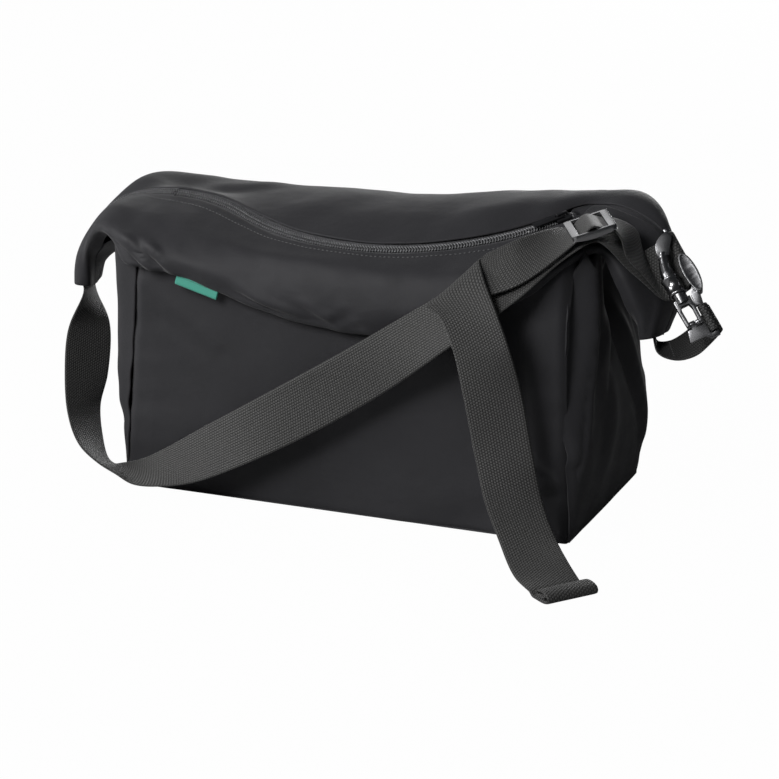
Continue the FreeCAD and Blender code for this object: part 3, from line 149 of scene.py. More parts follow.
class Graph:
    """Node tree of one material, with short ways to add and join nodes."""

    def __init__(self, name, color, roughness, metallic=0.0):
        self.material = bpy.data.materials.new(name)
        self.material.use_nodes = True
        self.tree = self.material.node_tree
        self.shader = self.tree.nodes["Principled BSDF"]
        self.color = color
        self.drive({"Base Color": (*color, 1.0), "Roughness": roughness, "Metallic": metallic})

    def drive(self, inputs):
        """Joins or sets inputs of the material's shader."""
        wire(self.tree, self.shader, inputs)

    def add(self, kind, inputs=()):
        """New node of a kind, with its inputs joined or set."""
        return wire(self.tree, self.tree.nodes.new("ShaderNode" + kind), dict(inputs))

    def mixed(self, share, first, second):
        """Output of a shader mixed from two."""
        return self.add("MixShader", {0: share, 1: first, 2: second}).outputs[0]

    def math(self, operation, first, second=0.0):
        """Output of a Math node."""
        node = self.add("Math", {0: first, 1: second})
        node.operation = operation
        return node.outputs[0]

    def noise(self, scale, detail=2.0, stretch=(1, 1, 1)):
        """Noise on the object's own coordinates; scale is in lumps to the metre."""
        place = self.add("TexCoord").outputs["Object"]
        mapping = self.add("Mapping", {"Vector": place, "Scale": stretch}).outputs[0]
        node = self.add("TexNoise", {"Vector": mapping, "Scale": scale, "Detail": detail})
        return node.outputs["Fac"]

    def weave(self, rib, pick, depth=0.45):
        """Height of a plain weave: ribs along U, a rib apart in V, crossed by picks."""
        place = self.add("SeparateXYZ", {0: self.add("TexCoord").outputs["UV"]}).outputs
        turn = self.math("MULTIPLY", place["Y"], math.pi / rib)
        ribs = self.math("POWER", self.math("ABSOLUTE", self.math("SINE", turn)), 0.6)
        row = self.math("FLOOR", self.math("MULTIPLY", place["Y"], 1 / rib))
        phase = self.math("ADD", self.math("MULTIPLY", place["X"], math.tau / pick),
                          self.math("MULTIPLY", row, math.pi))
        picks = self.math("MULTIPLY", self.math("SINE", phase), depth)
        return self.math("MULTIPLY", ribs, self.math("ADD", picks, 1.0 - depth))

    def tint(self, factor, low, high):
        """Base colour scaled from low to high as the factor goes from 0 to 1."""
        node = self.add("Mix", {"Factor": factor})
        node.data_type = "RGBA"
        colors = [socket for socket in node.inputs if socket.type == "RGBA"]
        for socket, share in zip(colors, (low, high)):
            socket.default_value = (*[channel * share for channel in self.color], 1.0)
        self.drive({"Base Color": next(s for s in node.outputs if s.type == "RGBA")})

    def rough(self, factor, low, high):
        """Roughness from low to high as the factor goes from 0 to 1."""
        node = self.add("MapRange", {"Value": factor, "To Min": low, "To Max": high})
        self.drive({"Roughness": node.outputs[0]})

    def bump(self, height, distance, strength):
        """Relief of a height field, on top of what is there already."""
        inputs = {"Height": height, "Distance": distance, "Strength": strength}
        socket = self.shader.inputs["Normal"]
        if socket.is_linked:
            inputs["Normal"] = socket.links[0].from_socket
        self.drive({"Normal": self.add("Bump", inputs).outputs[0]})


# Slot, material, colour, roughness and metallic, then a noise and what it drives: the
# tint from low to high, the roughness from low to high, the relief's height and strength.
GRAIN_AND_GLINT = [
    ("lining_fabric", "lining_cloth", (0.05, 0.05, 0.055), (0.7,),
     ((14.0, 4.0), 0.85, 1.12), None, ((90.0, 3.0), 0.0006, 0.4)),
    # The coil's colour is speckled from black to over three times its tone: painted glints of the
    # coil's reflections.
    ("zipper_coil", "coil_nylon", (0.085, 0.085, 0.088), (0.4,),
     ((520.0, 2.0), 0.0, 3.4), ((300.0, 2.0), 0.26, 0.44), ((900.0, 2.0), 0.00005, 0.4)),
    ("stiff_board", "moulded_board", (0.03, 0.03, 0.032), (0.55,),
     ((30.0, 4.0), 0.85, 1.15), None, ((700.0, 3.0), 0.0001, 0.5)),
    ("black_metal", "black_lacquer", (0.02, 0.02, 0.022), (0.3, 0.35),
     ((160.0, 4.0), 0.75, 1.5), ((240.0, 3.0), 0.22, 0.42), ((500.0, 2.0), 0.00004, 0.35)),
    ("gunmetal", "dark_nickel", (0.26, 0.26, 0.268), (0.24, 1.0), ((70.0, 3.0), 0.9, 1.08),
     ((45.0, 3.0, (1, 1, 5)), 0.2, 0.3), ((500.0, 2.0, (1, 1, 6)), 0.000006, 0.25)),
    ("steel_pin", "drawn_steel", (0.5, 0.5, 0.52), (0.28, 1.0),
     ((300.0, 3.0), 0.8, 1.1), ((200.0, 3.0), 0.22, 0.38), None),
    ("thread", "sewing_thread", (0.075, 0.075, 0.078), (0.5,),
     ((900.0, 2.0), 0.8, 1.3), None, ((1500.0, 2.0), 0.00005, 0.5)),
]


def make_materials():
    """Every material slot of the record, with its weave, grain, wear and sheen, and shade and
    glints painted into some colours.
    """
    made = {}

    graph = Graph("nylon_cloth", (0.0235, 0.0232, 0.026), 0.62)
    graph.shader.inputs["Specular IOR Level"].default_value = 0.24
    graph.shader.inputs["Sheen Weight"].default_value = 0.1
    graph.shader.inputs["Sheen Roughness"].default_value = 0.45
    graph.tint(graph.noise(11.0, 9.0), 0.72, 1.28)
    graph.rough(graph.noise(60.0, 3.0), 0.54, 0.72)
    graph.bump(graph.noise(55.0, 4.0), 0.0016, 0.4)
    graph.bump(graph.weave(0.00055, 0.0006), 0.00009, 0.55)
    made["nylon_fabric"] = graph.material

    graph = Graph("ribbed_webbing", (0.046, 0.0455, 0.0445), 0.58)
    graph.shader.inputs["Specular IOR Level"].default_value = 0.35
    graph.shader.inputs["Sheen Weight"].default_value = 0.2
    graph.shader.inputs["Sheen Roughness"].default_value = 0.4
    relief_and_shade = graph.weave(0.0019, 0.0021, 0.35)
    # The webbing's colour follows its weave: darkened in the grooves as painted shade, lightened
    # on the ribs as painted highlight.
    graph.tint(relief_and_shade, 0.12, 1.75)
    graph.rough(graph.noise(45.0, 3.0), 0.5, 0.68)
    graph.bump(relief_and_shade, 0.0005, 0.9)
    made["webbing"] = graph.material

    # Darker copy of the webbing, worn by the anchor loop: its darkness is painted shade.
    graph = Graph("shaded_webbing", (0.012, 0.012, 0.012), 0.6)
    relief_and_shade = graph.weave(0.0019, 0.0021, 0.35)
    # Colour follows the weave: darker in the grooves as painted shade, lighter on the ribs as
    # painted highlight.
    graph.tint(relief_and_shade, 0.3, 1.6)
    graph.bump(relief_and_shade, 0.0005, 0.9)
    made["shaded_webbing"] = graph.material

    graph = Graph("zipper_tape_cloth", (0.036, 0.036, 0.038), 0.66)
    graph.tint(graph.noise(620.0, 2.0), 0.0, 3.6)
    graph.bump(graph.weave(0.0018, 0.0024), 0.0003, 0.8)
    made["zipper_tape"] = graph.material

    graph = Graph("green_ribbon", (0.058, 0.36, 0.27), 0.6)
    graph.shader.inputs["Sheen Weight"].default_value = 0.12
    relief_and_shade = graph.weave(0.0005, 0.0011)
    # The ribbon's colour follows its weave: darker in the grooves as painted shade, lighter on the
    # ribs as painted highlight.
    graph.tint(relief_and_shade, 0.72, 1.12)
    graph.bump(relief_and_shade, 0.0001, 0.8)
    made["label_fabric"] = graph.material

    for slot, name, color, shine, tint, rough, bump in GRAIN_AND_GLINT:
        graph = Graph(name, color, *shine)
        for step, noise_setting in ((graph.tint, tint), (graph.rough, rough), (graph.bump, bump)):
            if noise_setting:
                step(graph.noise(*noise_setting[0]), *noise_setting[1:])
        made[slot] = graph.material
    return made


# ---- meshes ----


def eased(points, steps):
    """Points along the smooth curve through the given ones, steps to each span."""
    points = np.asarray(points, float)
    line = np.vstack([2 * points[:1] - points[1:2], points, 2 * points[-1:] - points[-2:-1]])
    result = []
    for k in range(len(points) - 1):
        quad = line[k:k + 4]
        gaps = np.sqrt(np.maximum(np.linalg.norm(np.diff(quad, axis=0), axis=1), 1e-9))
        times = np.concatenate([[0.0], np.cumsum(gaps)])
        for step in range(steps):
            moment = times[1] + (times[2] - times[1]) * step / steps
            level = list(quad)
            for reach in (1, 2, 3):
                blend = []
                for j in range(len(level) - 1):
                    low = times[j] if reach < 3 else times[1]
                    high = times[j + reach] if reach < 3 else times[2]
                    share = (moment - low) / (high - low)
                    blend.append(level[j] * (1 - share) + level[j + 1] * share)
                level = blend
            result.append(level[0])
    result.append(points[-1])
    return np.array(result)


def travelled(line):
    """Length along a line of points up to each of them."""
    return np.concatenate([[0.0], np.cumsum(np.linalg.norm(np.diff(line, axis=0), axis=1))])


def points_at(places, travel, line):
    """Points of a line at places along it."""
    return np.stack([np.interp(places, travel, line[:, i]) for i in range(3)], axis=1)


def evenly(line, count):
    """Points evenly along a line."""
    travel = travelled(line)
    return points_at(np.linspace(0, travel[-1], count), travel, line)


def refined(net, row_steps, column_steps):
    """Net with smooth in-between points in both directions."""
    rows = np.array([eased(row, column_steps) for row in net])
    columns = [eased(rows[:, j], row_steps) for j in range(rows.shape[1])]
    return np.array(columns).transpose(1, 0, 2)


def net_normals(net):
    """Normal at each point of a net."""
    along = np.gradient(net, axis=0)
    across = np.gradient(net, axis=1)
    normals = np.cross(along, across)
    return normals / np.maximum(np.linalg.norm(normals, axis=2, keepdims=True), 1e-12)


def net_lengths(net):
    """Length along the rows and across them at each point, as (U, V)."""
    steps = np.linalg.norm(np.diff(net, axis=0), axis=2).mean(axis=1)
    u = np.concatenate([[0.0], np.cumsum(steps)])
    steps = np.linalg.norm(np.diff(net, axis=1), axis=2).mean(axis=0)
    v = np.concatenate([[0.0], np.cumsum(steps)])
    return np.meshgrid(u, v, indexing="ij")


def drift(u, v, size, seed, waves=7):
    """Smooth random field between about -1 and 1, with lumps of the given size."""
    random = np.random.default_rng(seed)
    field = np.zeros_like(u)
    for _ in range(waves):
        angle = random.uniform(0, math.tau)
        pitch = size * random.uniform(0.7, 1.6)
        turn = math.tau / pitch
        field += np.sin((u * math.cos(angle) + v * math.sin(angle)) * turn
                        + random.uniform(0, math.tau))
    return field / math.sqrt(waves * 2)


def ridge(net, start, end, width, height, facing=(0, -0.6, 0.8)):
    """Fold from start to end: a ridge with a valley on its right, fading out at both tips."""
    a, b = np.array(start) * MM, np.array(end) * MM
    run = b - a
    share = np.clip(((net - a) @ run) / (run @ run), 0, 1)
    off = net - (a + share[..., None] * run)
    distance = np.linalg.norm(off, axis=2)
    side = np.sign(np.cross(run, off) @ -np.array(facing))
    off = side * distance / (width * MM)
    profile = np.exp(-off ** 2) - 0.6 * np.exp(-((off - 1.35) / 0.75) ** 2)
    return height * MM * profile * np.sin(math.pi * np.clip(share * 0.86 + 0.07, 0, 1)) ** 0.7


def link_mesh(name, points, faces, material, uv=None):
    """Smooth-shaded mesh object in the scene."""
    mesh = bpy.data.meshes.new(name)
    mesh.from_pydata([tuple(p) for p in points], [], faces)
    if uv is not None:
        layer = mesh.uv_layers.new(name="cloth")
        corners = np.empty(len(mesh.loops), np.int32)
        mesh.loops.foreach_get("vertex_index", corners)
        layer.data.foreach_set("uv", np.asarray(uv, np.float32)[corners].ravel())
    mesh.polygons.foreach_set("use_smooth", [True] * len(mesh.polygons))
    mesh.materials.append(material)
    piece = bpy.data.objects.new(name, mesh)
    bpy.context.scene.collection.objects.link(piece)
    return piece


def cloth(name, net, thickness, slot, replaces=(), look=None):
    """Sheet of cloth of even thickness about a net, with its real size as UV."""
    rows, columns = net.shape[:2]
    u, v = net_lengths(net)
    index = np.arange(rows * columns).reshape(rows, columns)
    faces = np.stack([index[:-1, :-1], index[1:, :-1], index[1:, 1:], index[:-1, 1:]], axis=-1)
    piece = link_mesh(name, net.reshape(-1, 3), faces.reshape(-1, 4).tolist(), looks[look or slot],
                      np.stack([u.ravel(), v.ravel()], axis=1))
    solid = piece.modifiers.new("thickness", "SOLIDIFY")
    solid.thickness = thickness
    solid.offset = 0.0
    soft = piece.modifiers.new("smooth", "SUBSURF")
    soft.levels = soft.render_levels = 1
    return dressed(piece, replaces)


def dressed(piece, replaces=()):
    """Attaches a soft piece to the bag's body and hides the nodes it stands for."""
    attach(piece, "bag")
    if replaces:
        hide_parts(*replaces)
    return piece


WIRE_SIDES = 6


def wire_faces(first, rings):
    """Faces of a closed wire of so many rings, from the number of its first point."""
    last = first + (rings - 1) * WIRE_SIDES
    faces = []
    for start in range(first, last, WIRE_SIDES):
        for j in range(WIRE_SIDES):
            a, b = start + j, start + (j + 1) % WIRE_SIDES
            faces.append((a, b, b + WIRE_SIDES, a + WIRE_SIDES))
    return faces + [tuple(range(first, first + WIRE_SIDES))[::-1],
                    tuple(range(last, last + WIRE_SIDES))]


def tube(name, line, radius, slot, replaces=()):
    """Round wire along a line of points."""
    run = np.gradient(line, axis=0)
    run /= np.linalg.norm(run, axis=1, keepdims=True)
    side = np.cross(run, np.array([0.0, 0.0, 1.0]))
    side /= np.maximum(np.linalg.norm(side, axis=1, keepdims=True), 1e-9)
    rise = np.cross(side, run)
    turns = np.arange(WIRE_SIDES) * math.tau / WIRE_SIDES
    points = (line[:, None] + radius * (side[:, None] * np.cos(turns)[None, :, None]
                                        + rise[:, None] * np.sin(turns)[None, :, None]))
    piece = link_mesh(name, points.reshape(-1, 3), wire_faces(0, len(line)), looks[slot])
    return dressed(piece, replaces)


# One stitch: shares of its length, with the thread's width and rise there in radii.
STITCH = ((0, 0.25, -0.5), (0.25, 0.9, 0.35), (0.75, 0.9, 0.35), (1, 0.25, -0.5))


def stitches(name, paths, pitch, length, radius):
    """Rows of sewing thread, sized in mm; each path is points and normals to sit on."""
    points, faces = [], []
    for path, normals in paths:
        travel = travelled(path)
        for k in range(int(travel[-1] / (pitch * MM))):
            middle = (k + 0.5) * pitch * MM
            ends = points_at([middle + s * length * MM / 2 for s in (-1, 1)], travel, path)
            up = points_at([middle], travel, normals)[0]
            run = ends[1] - ends[0]
            side = np.cross(run, up)
            side /= max(np.linalg.norm(side), 1e-9)
            faces += wire_faces(len(points), len(STITCH))
            for share, wide, rise in STITCH:
                centre = ends[0] + run * share + up * rise * radius * MM
                for j in range(WIRE_SIDES):
                    turn = math.tau * j / WIRE_SIDES
                    points.append(centre + radius * MM * wide
                                  * (side * math.cos(turn) + up * math.sin(turn)))
    return dressed(link_mesh(name, points, faces, looks["thread"]))


# ---- fabric panels ----

NYLON = 1.6 * MM


def node_box(name):
    """Lowest and highest corner of a CAD node as arrays."""
    low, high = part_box(name)
    return np.array(low), np.array(high)


def wall_sizes():
    """Half length at the foot and at the top, height and front plane of the front panel."""
    low, high = node_box("front_panel")
    top = [v.co.x for v in nodes["front_panel"].data.vertices if v.co.z > high[2] - 0.0005]
    return high[0], max(top), high[2], low[1]


FOOT_HALF, TOP_HALF, PANEL_TOP, FRONT = wall_sizes()
BACK = node_box("back_panel")[1][1]
TOP_HALF_LEFT = TOP_HALF - 7 * MM
# How far a panel is drawn in at its end seams and at its foot, and how near to them.
SEAM_DRAW, SEAM_REACH = 4.2 * MM, 3.0 * MM
FOOT_DRAW, FOOT_REACH = 2.2 * MM, 2.6 * MM
GATHER_START = 0.6


def seam_x(z, side):
    """How far out the seam at the end of a panel is, at a height."""
    top = TOP_HALF if side > 0 else TOP_HALF_LEFT
    return FOOT_HALF + (top - FOOT_HALF) * np.minimum(z / PANEL_TOP, 1.0)


def gathered(x, z):
    """How far the front's top right corner is pulled back and up, at x and z."""
    corner = np.array(FRONT_CORNER) * MM
    share = np.clip((z / PANEL_TOP - GATHER_START) / (1 - GATHER_START), 0, 1)
    tuck = (np.interp(x, corner[:, 0], corner[:, 1]) - FRONT) * share ** 3
    climb = (np.interp(x, corner[:, 0], corner[:, 2]) - PANEL_TOP) * share ** 1.5
    return tuck, climb


def wall(side):
    """Front (-1) or back (+1) panel, drawn in to a rounded seam at both ends and below."""
    across = np.sin(np.linspace(-1, 1, 150) * math.pi / 2)
    across = 0.55 * across + 0.45 * np.linspace(-1, 1, 150)
    low = 0.9 * MM
    up = low + (PANEL_TOP - low) * np.linspace(0, 1, 90) ** 1.08
    span, z = np.meshgrid(across, up, indexing="ij")
    half = np.where(span < 0, seam_x(z, -1), seam_x(z, 1))
    x = span * half
    to_seam = half - np.abs(x)
    draw = SEAM_DRAW * np.exp(-(to_seam / SEAM_REACH) ** 1.6)
    draw += FOOT_DRAW * np.exp(-(z / FOOT_REACH) ** 1.6)
    seam_pull = np.exp(-to_seam / (22 * MM))
    pucker = 0.75 * MM * drift(z, x * 0.25, 0.022, 11 + side) * seam_pull
    pucker += 0.5 * MM * drift(x, z * 0.3, 0.03, 5 + side) * np.exp(-z / (14 * MM))
    rounds = 1.5 * MM * np.cos(span * math.pi / 2) * np.sin(math.pi * np.clip(z / PANEL_TOP, 0, 1))
    slack = 1.3 * MM * drift(x, z, 0.16, 3 + side) + 0.5 * MM * drift(x, z, 0.06, 8 + side)
    slack *= np.clip(to_seam / (20 * MM), 0, 1)
    reach = rounds + slack + pucker - draw
    y = (FRONT + NYLON / 2 if side < 0 else BACK - NYLON / 2) + side * reach
    net = np.stack([x, y, z], axis=-1)
    if side < 0:
        for fold in FRONT_FOLDS:
            net[..., 1] -= ridge(net, *fold)
        tuck, climb = gathered(x, z)
        net[..., 1] += tuck
        net[..., 2] += climb
        net = net[::-1]
    name = "front" if side < 0 else "back"
    return cloth("cloth_%s_panel" % name, net, NYLON, "nylon_fabric", ["%s_panel" % name])


# Top edge of the front panel, where it is gathered up under the slide.
FRONT_CORNER = [(104, -80, 176), (122, -79.2, 180), (138, -76, 186.5), (146, -71.5, 191),
                (152, -66, 195), (158, -59, 198), (163, -50, 200)]
# start, end, width, height
FRONT_FOLDS = [
    ((-158, -80, 160), (-96, -80, 118), 9, 1.6), ((-150, -80, 148), (-60, -80, 70), 16, 1.4),
    ((150, -80, 62), (168, -80, 50), 5, 1.8), ((140, -80, 40), (168, -80, 47), 6, 1.4),
    ((146, -80, 150), (150, -80, 20), 9, 2.0), ((60, -80, 20), (140, -80, 40), 14, 1.0),
]


# Columns of the end panels from front to back: depth, bulge, rise and recess.
GUSSET_COLUMNS = [
    (-1.0, 0.0, 0.0, 0.0), (-0.94, 0.35, 0.2, 0.0), (-0.6, 0.85, 0.75, 0.1),
    (-0.36, 0.95, 1.0, -0.3), (-0.14, 0.97, 0.98, 0.55), (0.1, 1.0, 0.95, 1.0),
    (0.6, 0.95, 0.75, 0.4), (0.94, 0.35, 0.2, 0.0), (1.0, 0.0, 0.0, 0.0),
]
LEFT_COLUMNS = [(-1.0, 0.0, 0.1, 0.0), (-0.92, 1.1, 0.5, 0.0),
                (-0.7, 1.35, 0.7, 0.0)] + GUSSET_COLUMNS[3:]
# Rows from the foot up: height, recess, bulge on the right and on the left.
GUSSET_ROWS = [(0.0, 0.0, 0.0, 0.0), (0.04, 0.0, 0.3, 0.1), (0.3, 0.0, 1.0, 0.45),
               (0.6, 0.35, 0.72, 0.66), (0.85, 1.0, 0.45, 0.95), (1.0, 0.5, 0.4, 1.0)]
GUSSET_RISE, LEFT_RISE = 24.0 * MM, 19.0 * MM
BULGE, RECESS = 18.0 * MM, 12.0 * MM
# start, end, width, height
GUSSET_FOLDS = [
    ((166, -44, 208), (168, -70, 64), 8, 13.0), ((165, 26, 184), (170, -30, 112), 9, -7.0),
    ((168, 6, 178), (182, 44, 46), 9, 6.0), ((166, 40, 184), (178, 58, 96), 8, -3.0),
    ((180, -20, 100), (186, -44, 34), 11, 1.8),
]


def gusset_net(side, seam):
    """Smooth net of an end panel, whose front corner follows the gathered front."""
    rise = GUSSET_RISE if side > 0 else LEFT_RISE
    floor = NYLON + 0.6 * MM
    net = []
    for depth, out, lift, pinch in (GUSSET_COLUMNS if side > 0 else LEFT_COLUMNS):
        line = []
        for share, tucked, right, left in GUSSET_ROWS:
            z = floor + share * (PANEL_TOP + rise * lift - floor)
            x = seam_x(z, side) + BULGE * out * (right if side > 0 else left)
            x -= RECESS * pinch * tucked
            y = seam * depth
            if side > 0 and depth < -0.9:
                tuck, climb = gathered(x, z)
                y, z = y + tuck * (1 if depth == -1.0 else 0.85), z + climb
            line.append((side * x, y, z))
        net.append(line)
    return refined(np.array(net), 12, 14)


def gusset(side):
    """End panel: pillowed low down, gathered into a peak under the yoke."""
    seam = -FRONT - 1.5 * NYLON
    net = gusset_net(side, seam)
    y, z = net[..., 1], net[..., 2]
    inner = np.clip((seam - np.abs(y)) / (14 * MM), 0, 1)
    low_fade = np.clip(z / (20 * MM), 0, 1)
    slack = 1.1 * MM * drift(y, z, 0.09, 21 + side)
    slack += 0.55 * MM * drift(y, z * 0.5, 0.032, 25 + side)
    slack *= inner * low_fade
    v = net_lengths(net)[1]
    sewn = np.clip(np.minimum(v, v.max() - v) / (5 * MM), 0, 1)
    edge_pull = np.exp(-(seam - np.abs(y)) / (16 * MM))
    slack += 0.7 * MM * drift(z, y * 0.2, 0.02, 31 + side) * edge_pull * low_fade
    for start, end, width, height in GUSSET_FOLDS:
        start = (side * start[0], start[1], start[2])
        end = (side * end[0], end[1], end[2])
        slack += sewn * ridge(net, start, end, width, height, (side, 0, 0))
    net[..., 0] += side * slack
    name = "right_gusset" if side > 0 else "left_gusset"
    return cloth("cloth_" + name, net, NYLON, "nylon_fabric", [name])


def base():
    """Base panel with its corners rounded and its rim turned up into the seam."""
    high = node_box("base_panel")[1]
    u, v = np.meshgrid(np.linspace(-1, 1, 80), np.linspace(-1, 1, 40), indexing="ij")
    x, y = u * (high[0] - 0.6 * MM), v * (high[1] - 0.6 * MM)
    rim = np.minimum(high[0] - np.abs(x), high[1] - np.abs(y))
    z = NYLON / 2 + 1.1 * MM * np.exp(-rim / (2.5 * MM))
    z += 0.2 * MM * (1 + drift(u * high[0], v * high[1], 0.05, 77)) * np.clip(rim / 0.02, 0, 1)
    net = np.stack([x, y, z], axis=-1)[::-1]
    return cloth("cloth_base", net, NYLON, "nylon_fabric", ["base_panel"])


# ---- zipper's path ----

ZIP_RADIUS, ZIP_LEFT_RADIUS = 183.5 * MM, 114.0 * MM
ZIP_TURN = math.radians(31.8)
ZIP_START, ZIP_END = -155.0, 142.0
ZIP_CENTRE = np.array(joints["slider_travel"]["pos_m"])
ZIP_UP = np.array(joints["slider_travel"]["axis"])
ZIP_RIGHT = np.array([1.0, 0.0, 0.0])
ZIP_BACK = np.cross(ZIP_UP, ZIP_RIGHT)


def zip_point(x, offset, lift):
    """Point on the zipper's path at x, moved towards the front and off its plane."""
    local = x * MM - ZIP_CENTRE[0]
    if local > -ZIP_RADIUS * math.sin(ZIP_TURN):
        angle = math.asin(min(local / ZIP_RADIUS, 1.0))
        outward = np.array([math.sin(angle), -math.cos(angle)])
        point = outward * ZIP_RADIUS
    else:
        both = ZIP_RADIUS + ZIP_LEFT_RADIUS
        centre = np.array([-both * math.sin(ZIP_TURN), -both * math.cos(ZIP_TURN)])
        share = max((local - centre[0]) / ZIP_LEFT_RADIUS, 0.0)
        angle = math.asin(min(share, 1.0))
        outward = np.array([-math.sin(angle), -math.cos(angle)])
        point = centre - outward * ZIP_LEFT_RADIUS
        if share == 0.0:
            point[0] = local
    point = point + outward * offset * MM
    return ZIP_CENTRE + point[0] * ZIP_RIGHT + point[1] * ZIP_BACK + lift * MM * ZIP_UP


def zip_line(offset, lift, count):
    """Points evenly along the zipper, at an offset and a level."""
    return evenly(np.array([zip_point(x, offset, lift)
                            for x in np.linspace(ZIP_START, ZIP_END, 600)]), count)


TAPE = 0.6 * MM
COIL_PITCH, COIL_REACH, COIL_RISE, COIL_WIRE = 2.0 * MM, 1.25 * MM, 0.5 * MM, 0.5 * MM
COIL_SEAT, COIL_STEPS = 1.7, 8
# name, which edges it joins, from x to x, slot
CLOSURES = (("left", "zipper", -0.24, -0.1535, "zipper_tape"),
            ("right", "zipper", 0.139, 0.23, "nylon_fabric"),
            ("sleeve_left", "outer", -0.24, -0.197, "nylon_fabric"),
            ("sleeve_right", "outer", 0.192, 0.23, "nylon_fabric"))


def coil(name, line, outward, flip, replaces=()):
    """Row of moulded teeth: a flat helix along a line, reaching outward."""
    turns = int(np.linalg.norm(np.diff(line, axis=0), axis=1).sum() / COIL_PITCH)
    count = turns * COIL_STEPS + 1
    at, index = np.linspace(0, len(line) - 1, count), np.arange(len(line))
    turn = np.linspace(0, turns * math.tau, count) + flip
    path = (points_at(at, index, line)
            + points_at(at, index, outward) * (COIL_REACH * np.cos(turn))[:, None]
            + ZIP_UP * (COIL_RISE * np.sin(turn))[:, None])
    tube(name, path, COIL_WIRE, "zipper_coil", replaces)


def closure(front, back):
    """Cloth that closes the top's two halves into sleeves, and the teeth that run on left."""
    edges = {"zipper": (front[:, -1], back[:, 0]), "outer": (front[:, 0], back[:, -1])}
    for name, where, low, high, slot in CLOSURES:
        near, far = (evenly(edge[(edge[:, 0] > low) & (edge[:, 0] < high)], 90)
                     for edge in edges[where])
        middle = (near + far) / 2
        across = (far - near) / np.maximum(np.linalg.norm(far - near, axis=1, keepdims=True), 1e-6)
        sunk = -0.8 * MM * ZIP_UP
        cloth("zip_end_" + name, np.stack([near - across * MM + sunk, middle + sunk * 0.6,
                                           far + across * MM + sunk], axis=1), TAPE, slot)
        if name == "left":
            for side, end, flip in ((1, "front", 0), (-1, "back", math.pi)):
                coil("coil_end_" + end, middle - across * side * COIL_SEAT * MM
                     + 0.3 * MM * ZIP_UP, -side * across, flip)


def zipper():
    """Woven tapes and the two rows of coil between the stops."""
    for side, name in ((1, "front"), (-1, "back")):
        rows = np.array([zip_line(side * offset, 0.3, 160) for offset in (0.6, 2.4, 5.0, 8.1)])
        cloth("tape_" + name, rows.transpose(1, 0, 2), TAPE, "zipper_tape",
              ["zipper_tape_" + name])
        middle = zip_line(side * COIL_SEAT, 1.4, 400)
        outward = (zip_line(side * (COIL_SEAT + 1), 1.4, 400) - middle) / MM
        coil("coil_" + name, middle, outward, math.pi if side < 0 else 0, ["zipper_coil_" + name])


# ---- yoke ----

YOKE = 1.8 * MM
# From the zipper's middle line to the yoke's edge, along the zipper and past its end.
WINDOW, CLOSING = 5.9, 1.2
YOKE_LIFT = 1.8
LIP = FRONT / MM - 10.0
PANEL_TOP_MM = PANEL_TOP / MM
RIDGE_BACK = 38.0


def ridge_top(x):
    """Height of the yoke's rear ridge: level on the left, rising to the right."""
    return 207.0 + 16.0 * max(x / (TOP_HALF / MM), 0.0) - 2.5 * max(-x / (FOOT_HALF / MM), 0.0)


def zip_edge(x, offset):
    """Yoke's edge beside the zipper, in millimetres."""
    return zip_point(x, offset, YOKE_LIFT) / MM


def front_row(x, hem, brow, out, crown, inset):
    """Front yoke at x: hem, brow and crown heights, and the crown's inset from the wall."""
    return [(x, LIP, hem), (x, LIP - out, brow), (x, FRONT / MM + inset, crown),
            zip_edge(x, WINDOW)]


def back_row(x):
    """Back yoke at x: zipper edge, ridge, rear slope and the top of the back panel."""
    top = ridge_top(x)
    near = zip_edge(x, -CLOSING if x > 145 else -WINDOW)
    return [near, (x, (near[1] + RIDGE_BACK) / 2 - 6, top - 1.5), (x, RIDGE_BACK, top),
            (x, BACK / MM - 10, top - 14), (x, BACK / MM - 0.8, PANEL_TOP_MM + 0.6)]


# Each end runs down into a flat sleeve that the webbing comes out of.
LEFT_FRONT = [
    [(-220, -25, 132), (-217, -41, 135), (-224, -44.5, 136), (-231.5, -20, 133)],
    [(-217, -30, 150), (-216.5, -43, 152), (-223.5, -41, 155.5), (-234.5, -16, 152)],
    [(-203, -46, 168), (-206.5, -57, 174), (-205, -46, 185.5), (-215, -14, 186)],
    [(-184, -66, 184), (-186, -74, 190), (-190, -50, 200), (-192, -12, 199)],
]
LEFT_BACK = [
    [(-231.8, -18, 133), (-233.5, -8, 131), (-234.5, 1, 130), (-230, 4, 130), (-223, -14, 131)],
    [(-234.5, -14, 152), (-236.5, -2, 151), (-235, 8, 150), (-228, 12, 146), (-221, -2, 146)],
    [(-214.5, -11, 187), (-217, 2, 188), (-219, 14, 185), (-211, 34, 173), (-204, 36, 160)],
    [(-192, -9, 200), (-193, 10, 206), (-194, 30, 205), (-194, 52, 196), (-188, 62, 176)],
]
RIGHT_FRONT = [
    [(173, -36, 198), (175, -38, 202), (176, -14, 208), (174, 10, 217)],
    [(188, -40, 178), (194, -41, 184), (202, -14, 195), (207, 4, 203)],
    [(198, -34, 155), (204, -40, 158), (213, -30, 164), (219, -6, 166)],
    [(203, -24, 138), (206, -40, 141), (212, -38, 142), (215, -18, 140)],
]
RIGHT_BACK = [
    [(175, 13, 219), (178, 25, 223), (182, 40, 222), (184, 58, 206), (176, 74, 178)],
    [(208, 7, 203), (206, 14, 208), (203, 26, 208), (198, 44, 192), (190, 50, 166)],
    [(219, -3, 166), (219, 4, 163), (218, 12, 162), (210, 20, 158), (202, 6, 154)],
    [(215, -16, 140), (215, -6, 139), (211, 3, 138), (205, 3, 138), (201, -10, 138)],
]

# x, hem height, brow height and its reach beyond the hem, crown height and inset
FRONT_LIP = [(-118, 168, 178, 1, 192, 8), (-50, 148, 163, 2, 183, -2), (20, 140, 158, 3, 180, -4),
             (70, 147, 163, 0, 181, 0), (105, 160, 172, -4, 186, 4)]


